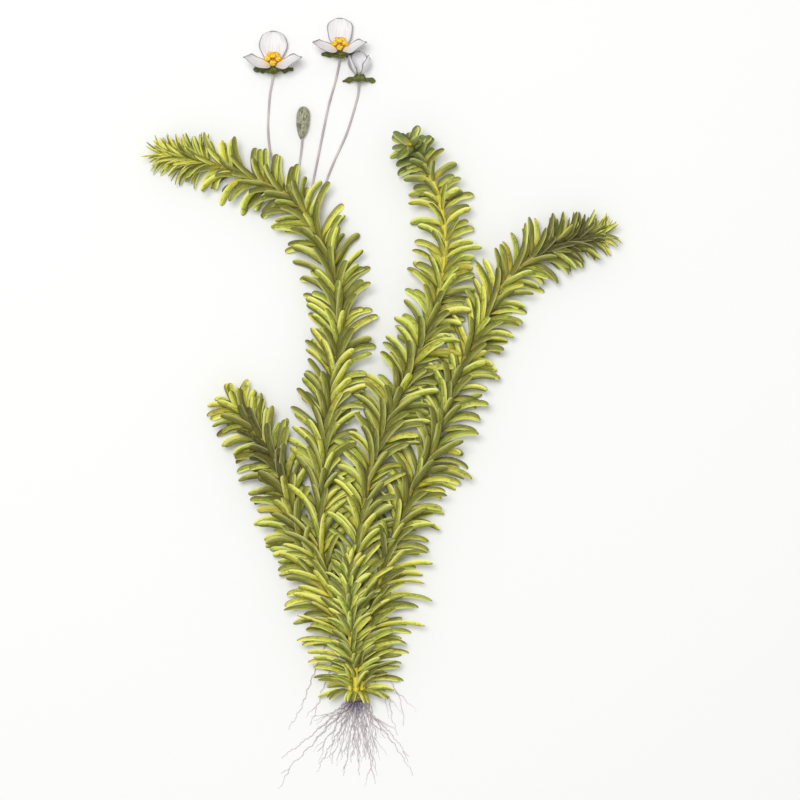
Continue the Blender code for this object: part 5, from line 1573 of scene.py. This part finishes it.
def add_sepal(form, flower, turn, scale, chance):
    """Add one wavy sepal, which spreads from the cup."""
    centre, axis, _, _ = flower
    outward, _ = round_axis(flower, turn)
    in_front = turn == SEPAL_IN_FRONT
    length = SEPAL_LENGTH * scale * (FRONT_SEPAL_LENGTH if in_front else 1.0)
    broad = SEPAL_WIDTH * (FRONT_SEPAL_BREADTH if in_front else 1.0)
    path = []
    for step in range(LEAF_STEPS + 1):
        share = step / LEAF_STEPS
        reach = CUP_RADIUS * SEPAL_FOOT + (CUP_RADIUS * (1.0 - SEPAL_FOOT) + length) * share
        rise = -SEPAL_DROP * min(share * SEPAL_DROP_ONSET, 1.0)
        if not in_front:
            rise += SEPAL_LENGTH * SEPAL_RISE * share
        point = centre + outward * reach + axis * rise
        point.z = max(point.z, SEPAL_CLEAR)
        path.append(point)
    line = []
    for index, point in enumerate(path):
        ahead = step_at(path, index).normalized()
        face = axis + UP * SEPAL_FACE_UP
        face = (face - ahead * face.dot(ahead)).normalized()
        line.append((point, ahead.cross(face), face))
    points, places = blade(line, lambda part: broad * scale * sepal_width(part),
                           SEPAL_THICKNESS, SEPAL_CHANNEL, SEPAL_RIPPLE, chance)
    form.add(points, BLADE_FACES, places, SEPAL_OLIVE, margins=BLADE_MARGIN)


def build_sepals(name, flower, scale, materials):
    """The flower's round cup with its three sepals."""
    chance = random.Random(f"{name} fine")
    form = Form()
    add_cup(form, flower)
    for turn in SEPAL_TURNS:
        add_sepal(form, flower, turn, scale, chance)
    put_piece(f"{name}_fine", form, materials, "sepal", name)


def add_stamen(form, flower, start, lean, turn, scale, number):
    """Add one club-shaped stamen with a lumpy head."""
    centre, axis, _, _ = flower
    outward, across = round_axis(flower, turn)
    heading = axis * math.cos(lean) + outward * math.sin(lean)
    other = heading.cross(across)
    points = []
    places = []
    colours = []
    for ring in range(STAMEN_RINGS):
        share = ring / (STAMEN_RINGS - 1)
        head = smoothed(share, STAMEN_HEAD_START, STAMEN_HEAD_FULL)
        radius = STAMEN_STALK_RADIUS + (STAMEN_HEAD_RADIUS - STAMEN_STALK_RADIUS) * head
        radius *= math.sqrt(max(1.0 - smoothed(share, STAMEN_END_START, 1.0) ** 2, STAMEN_END))
        middle = start + heading * (STAMEN_LENGTH * scale * (share * STAMEN_STRETCH))
        middle.x = centre.x + (middle.x - centre.x) * STAMEN_SPREAD
        for part, around in circle(STAMEN_SIDES):
            way = across * math.cos(around) + other * math.sin(around)
            lump = STAMEN_LUMP * noise.noise((middle + way * radius) * STAMEN_LUMPS) * head
            points.append(middle + way * (radius * scale + lump))
            places.append((share, part, number))
            colours.append(mixed(STAMEN_ORANGE, STAMEN_YELLOW, head))
    form.add(points, ring_faces(STAMEN_RINGS, STAMEN_SIDES), places, colours)


def build_stamens(name, flower, scale, materials):
    """Nine stamens in three whorls."""
    centre, axis, _, _ = flower
    form = Form()
    foot = centre + axis * STAMEN_FOOT
    for whorl in range(STAMEN_WHORLS):
        lean = math.radians(STAMEN_LEAN - STAMEN_LEAN_STEP * whorl)
        start = foot + axis * (STAMEN_STEP * whorl)
        for stamen in range(WHORL_STAMENS):
            turn = STAMEN_TURN / 2 * (whorl % 2) + STAMEN_TURN * (stamen + 0.5)
            add_stamen(form, flower, start, lean, turn, scale, float(stamen))
    put_piece(f"{name}_fine", form, materials, "stamen", name)


def build_flowers(petal_materials, sepal_materials, stamen_materials):
    """Two open flowers and one half closed."""
    for name, place, scale, tilt, petals, petal_scale, has_stamens in FLOWERS:
        flower = flower_frame(place, tilt)
        build_sepals(f"{name}_sepals", flower, scale, sepal_materials)
        for ending, *shape in petals:
            build_petal(f"{name}_{ending}", flower, shape, petal_scale, petal_materials)
        if has_stamens:
            build_stamens(f"{name}_stamens", flower, scale, stamen_materials)


def build_bud(materials):
    """The flower bud: a spindle wrapped in three folded sepals."""
    foot = Vector(BUD_FOOT)
    along = (Vector(BUD_TIP) - foot).normalized()
    length = (Vector(BUD_TIP) - foot).length
    side = along.cross(UP).normalized()
    up = side.cross(along)
    points = []
    places = []
    for ring in range(BUD_RINGS):
        share = ring / (BUD_RINGS - 1)
        swell = table_at(BUD_PROFILE, share)[0]
        for _, around in circle(BUD_SIDES):
            seam = abs(math.sin(BUD_FOLDS / 2 * around + BUD_FOLD_TWIST * share)) ** BUD_FOLD_SHARPNESS
            fold = 1.0 - BUD_FOLD * seam
            place = foot + along * (length * share)
            lump = BUD_LUMP * noise.noise((place + side * math.cos(around) * BUD_RADIUS) * BUD_LUMPS)
            reach = BUD_RADIUS * swell * fold + lump
            height = foot.z + (BUD_RADIUS - foot.z) * math.sin(math.pi * share)
            centre = Vector((place.x, place.y, max(height, reach * BUD_FLOOR_SHARE)))
            points.append(centre + (side * math.cos(around) + up * math.sin(around)) * reach)
            places.append((share, around, 0.0))
    form = Form()
    form.add(points, ring_faces(BUD_RINGS, BUD_SIDES), places, BUD_GREY)
    put_piece("flower_bud_fine", form, materials, "bud", "flower_bud")


class Paint:
    """A node material that is put together step by step."""

    def __init__(self, name, roughness, specular):
        self.material = bpy.data.materials.new(name)
        self.material.use_nodes = True
        self.nodes = self.material.node_tree.nodes
        self.links = self.material.node_tree.links
        self.shader = self.nodes["Principled BSDF"]
        self.shader.inputs["Roughness"].default_value = roughness
        self.shader.inputs["Specular IOR Level"].default_value = specular
        self.body = self.attribute("own_colour", "Color")
        self.along, self.across, self.number = self.parts(self.attribute("place", "Vector"))
        self.shade = self.attribute("shade", "Fac")

    def attribute(self, name, output):
        """A value that the mesh has at its points."""
        node = self.nodes.new("ShaderNodeAttribute")
        node.attribute_name = name
        return node.outputs[output]

    def put(self, socket, value):
        """Wire an output into an input, or set the input's own value."""
        if isinstance(value, bpy.types.NodeSocket):
            self.links.new(value, socket)
        elif isinstance(value, tuple) and socket.type == "RGBA":
            socket.default_value = (*value, 1.0)
        else:
            socket.default_value = value

    def parts(self, vector):
        """A vector's three numbers."""
        node = self.nodes.new("ShaderNodeSeparateXYZ")
        self.put(node.inputs[0], vector)
        return node.outputs[0], node.outputs[1], node.outputs[2]

    def vector(self, x, y, z):
        """A vector from three numbers."""
        node = self.nodes.new("ShaderNodeCombineXYZ")
        for socket, value in zip(node.inputs, (x, y, z)):
            self.put(socket, value)
        return node.outputs[0]

    def maths(self, operation, one, other=0.0):
        """One step of arithmetic with one number or two."""
        node = self.nodes.new("ShaderNodeMath")
        node.operation = operation
        self.put(node.inputs[0], one)
        self.put(node.inputs[1], other)
        return node.outputs[0]

    def band(self, value, low, high, to_low=0.0, to_high=1.0):
        """A number carried smoothly from one range to another."""
        node = self.nodes.new("ShaderNodeMapRange")
        node.interpolation_type = "SMOOTHSTEP"
        for socket, number in zip(node.inputs[:5], (value, low, high, to_low, to_high)):
            self.put(socket, number)
        return node.outputs[0]

    def mix(self, amount, one, other):
        """A colour between two."""
        node = self.nodes.new("ShaderNodeMix")
        node.data_type = "RGBA"
        for number, value in zip(COLOUR_MIX_INPUTS, (amount, one, other)):
            self.put(node.inputs[number], value)
        return node.outputs[COLOUR_MIX_OUTPUT]

    def lightness(self, value):
        """How light a colour is."""
        node = self.nodes.new("ShaderNodeRGBToBW")
        self.put(node.inputs[0], value)
        return node.outputs[0]

    def noise(self, vector, scale, detail, rough):
        """A soft noise from 0 to 1."""
        node = self.nodes.new("ShaderNodeTexNoise")
        self.put(node.inputs["Vector"], vector)
        node.inputs["Scale"].default_value = scale
        node.inputs["Detail"].default_value = detail
        node.inputs["Roughness"].default_value = rough
        return node.outputs["Fac"]

    def pattern(self, scale, detail, rough, *stretches):
        """A noise at a place on the plant, or drawn out by factors over two directions of a part."""
        if not stretches:
            place = self.nodes.new("ShaderNodeTexCoord").outputs["Object"]
            return self.noise(place, scale, detail, rough)
        ways = {"along": self.along, "across": self.across}
        numbers = [self.maths("MULTIPLY", ways[way], factor) for way, factor in stretches]
        return self.noise(self.vector(*numbers, 0.0), scale, detail, rough)

    def bump(self, height, distance, strength):
        """Small relief, as the shader's normal."""
        node = self.nodes.new("ShaderNodeBump")
        node.inputs["Distance"].default_value = distance
        node.inputs["Strength"].default_value = strength
        self.put(node.inputs["Height"], height)
        self.links.new(node.outputs["Normal"], self.shader.inputs["Normal"])

    def colour(self, value):
        """Give the shader its colour."""
        self.put(self.shader.inputs["Base Color"], value)

    def roughness(self, value):
        """Give the shader a roughness that changes over the piece."""
        self.put(self.shader.inputs["Roughness"], value)


def leaf_paint():
    """Leaves: own colour, long veins, a foot between yellow and painted shade, painted shade over one side
    with a dark outline on its margin, and painted highlights over the other side with a pale rim.
    """
    paint = Paint("waterweed_leaf", *LEAF_SURFACE)
    bands = LEAF_BANDS
    across, along = VEIN_STRETCH
    own = paint.maths("MULTIPLY", paint.number, VEIN_SHIFT)
    veins = paint.noise(paint.vector(paint.maths("MULTIPLY", paint.across, across),
                                     paint.maths("MULTIPLY", paint.along, along), own), *VEIN_NOISE)
    # a paler copy of the leaf's colour, for its pale veins and its painted highlights
    lightening = paint.band(paint.lightness(paint.body), *bands["lightening"])
    light = paint.mix(lightening, paint.body, LEAF_VEIN_AND_HIGHLIGHT)
    colour = paint.mix(paint.band(veins, *bands["light veins"]), paint.body, light)
    colour = paint.mix(paint.band(veins, *bands["dark veins"]), colour, LEAF_DARK_MARK_AND_SHADE)
    blotches = paint.pattern(*LEAF_BLOTCHES)
    colour = paint.mix(paint.band(blotches, *bands["blotches"]), colour, LEAF_DARK)
    # painted shade at a leaf's foot by the stem, turned yellow as far as its foot value says
    shaded_foot = paint.mix(FOOT_SHADE_AMOUNT, paint.body, LEAF_FOOT_SHADE)
    foot = paint.mix(paint.attribute("foot", "Fac"), shaded_foot, STEM_YELLOW)
    fades = paint.maths("MULTIPLY", paint.band(paint.along, *bands["foot"]),
                        paint.band(veins, *bands["foot veins"]))
    colour = paint.mix(fades, colour, foot)
    # Painted shade over the leaf's half on its shaded side and painted highlight over the other half from a
    # little way along; at the margins a dark outline on the shaded side and a pale highlight rim on the lit
    # side.
    edge = paint.maths("ABSOLUTE", paint.across)
    side = paint.maths("MULTIPLY", paint.across, paint.maths("SIGN", paint.shade))
    strength = paint.maths("ABSOLUTE", paint.shade)
    shaded_side = paint.maths("MULTIPLY", paint.band(side, *bands["painted shade side"]), strength)
    colour = paint.mix(paint.maths("MULTIPLY", shaded_side, PAINTED_SHADE_STRENGTH), colour, LEAF_DARK_MARK_AND_SHADE)
    lit_side = paint.maths("MULTIPLY", paint.band(side, *bands["painted highlight side"]),
                             paint.band(paint.along, *bands["painted highlight reach"]))
    colour = paint.mix(paint.maths("MULTIPLY", lit_side, PAINTED_HIGHLIGHT_STRENGTH), colour, light)
    rim = paint.mix(HIGHLIGHT_RIM_PALENESS, light, LEAF_HIGHLIGHT_RIM)
    rim = paint.mix(paint.band(side, *bands["outline"]), rim, LEAF_SHADE_OUTLINE)
    colour = paint.mix(paint.band(edge, *bands["rim"]), colour, rim)
    colour = paint.mix(paint.band(paint.along, *bands["tip"]), colour, LEAF_DARK_MARK_AND_SHADE)
    paint.colour(colour)
    paint.roughness(paint.band(veins, *bands["roughness"]))
    paint.bump(veins, *LEAF_RELIEF)
    return paint.material


def layered_paint(kind):
    """A paint from the table: patterns over a piece's own colour, one of which also gives the relief."""
    look = PAINTS[kind]
    paint = Paint(f"waterweed_{kind}", *look["surface"])
    values = {"along": paint.along, "edge": paint.maths("ABSOLUTE", paint.across)}
    for name, pattern in look["patterns"].items():
        values[name] = paint.pattern(*pattern)
    colour = paint.body
    for name, low, high, at_low, at_high, tint in look["layers"]:
        colour = paint.mix(paint.band(values[name], low, high, at_low, at_high), colour, tint)
    paint.colour(colour)
    followed, height, strength = look["relief"]
    paint.bump(values[followed], height, strength)
    return paint.material


def petal_paint():
    """Petals: white, with a grey pencil-thin rim, faint long veins and a yellowish foot."""
    paint = Paint("waterweed_petal", *PETAL_SURFACE)
    edge = paint.maths("ABSOLUTE", paint.across)
    half_width = paint.maths("MULTIPLY", paint.number, 0.5)
    inward = paint.maths("MULTIPLY", paint.maths("SUBTRACT", 1.0, edge), half_width)
    to_tip = paint.maths("MULTIPLY", paint.maths("SUBTRACT", 1.0, paint.along), PETAL_TIP_REACH)
    rim = paint.maths("MINIMUM", inward, to_tip)
    veins = paint.pattern(*PETAL_VEINS)
    colour = paint.mix(paint.band(veins, *PETAL_BANDS["veins"]), paint.body, PETAL_SHADE)
    shadow = paint.maths("MULTIPLY", paint.shade, paint.band(edge, *PETAL_BANDS["shadow"]))
    colour = paint.mix(shadow, colour, PETAL_GREY)
    colour = paint.mix(paint.band(paint.along, *PETAL_BANDS["foot"]), colour, PETAL_YELLOW)
    colour = paint.mix(paint.band(rim, *PETAL_BANDS["rim"]), colour, PETAL_GREY)
    paint.colour(colour)
    paint.bump(veins, *PETAL_RELIEF)
    return paint.material


def build_floor():
    """A plain pale floor."""
    paint = Paint("floor", *FLOOR_SURFACE)
    paint.colour(FLOOR_COLOUR)
    mesh = bpy.data.meshes.new("floor")
    corners = [(x * FLOOR_REACH, y * FLOOR_REACH, 0.0) for x, y in ((-1, -1), (1, -1), (1, 1), (-1, 1))]
    mesh.from_pydata(corners, [], [(0, 1, 2, 3)])
    mesh.materials.append(paint.material)
    floor = bpy.data.objects.new("floor", mesh)
    floor.location.z = -FLOOR_DROP
    bpy.context.scene.collection.objects.link(floor)


def add_area_light(name, place, target, size, power):
    """A square soft light that faces a point."""
    light = bpy.data.lights.new(name, "AREA")
    light.size = size
    light.energy = power
    lamp = bpy.data.objects.new(name, light)
    lamp.location = place
    lamp.rotation_mode = "QUATERNION"
    lamp.rotation_quaternion = (Vector(target) - Vector(place)).to_track_quat("-Z", "Y")
    bpy.context.scene.collection.objects.link(lamp)


def build_light():
    """Soft studio light: a bright even sky and one large lamp from the upper left."""
    world = bpy.data.worlds.new("studio")
    world.use_nodes = True
    world.node_tree.nodes["Background"].inputs["Color"].default_value = (1.0, 1.0, 1.0, 1.0)
    world.node_tree.nodes["Background"].inputs["Strength"].default_value = SKY
    bpy.context.scene.world = world
    add_area_light("key", LAMP_PLACE, (0.0, 0.0, 0.0), LAMP_SIZE, LAMP_POWER)


def build_camera():
    """A long lens that looks straight down on the plant."""
    data = bpy.data.cameras.new("camera")
    data.lens = LENS
    data.sensor_width = SENSOR
    data.clip_start, data.clip_end = CLIP
    camera = bpy.data.objects.new("camera", data)
    camera.location = (*PICTURE_CENTRE, FOCUS_HEIGHT + PICTURE_WIDTH * LENS / SENSOR)
    bpy.context.scene.collection.objects.link(camera)
    bpy.context.scene.camera = camera
    bpy.context.scene.view_settings.view_transform = "Standard"


def main():
    """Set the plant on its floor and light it."""
    build_camera()
    build_light()
    build_floor()
    leaf_materials = [leaf_paint(), layered_paint("stem")]
    trees = [(None, None, solids_tree())]
    for shoot in SHOOTS:
        build_shoot(trees, *shoot, leaf_materials)
    build_crown([layered_paint("crown")])
    build_skirt(leaf_materials[:1])
    build_roots([layered_paint("root")])
    build_stalks([layered_paint("stalk")])
    build_flowers([petal_paint()], [layered_paint("sepal")], [layered_paint("stamen")])
    build_bud([layered_paint("bud")])


main()
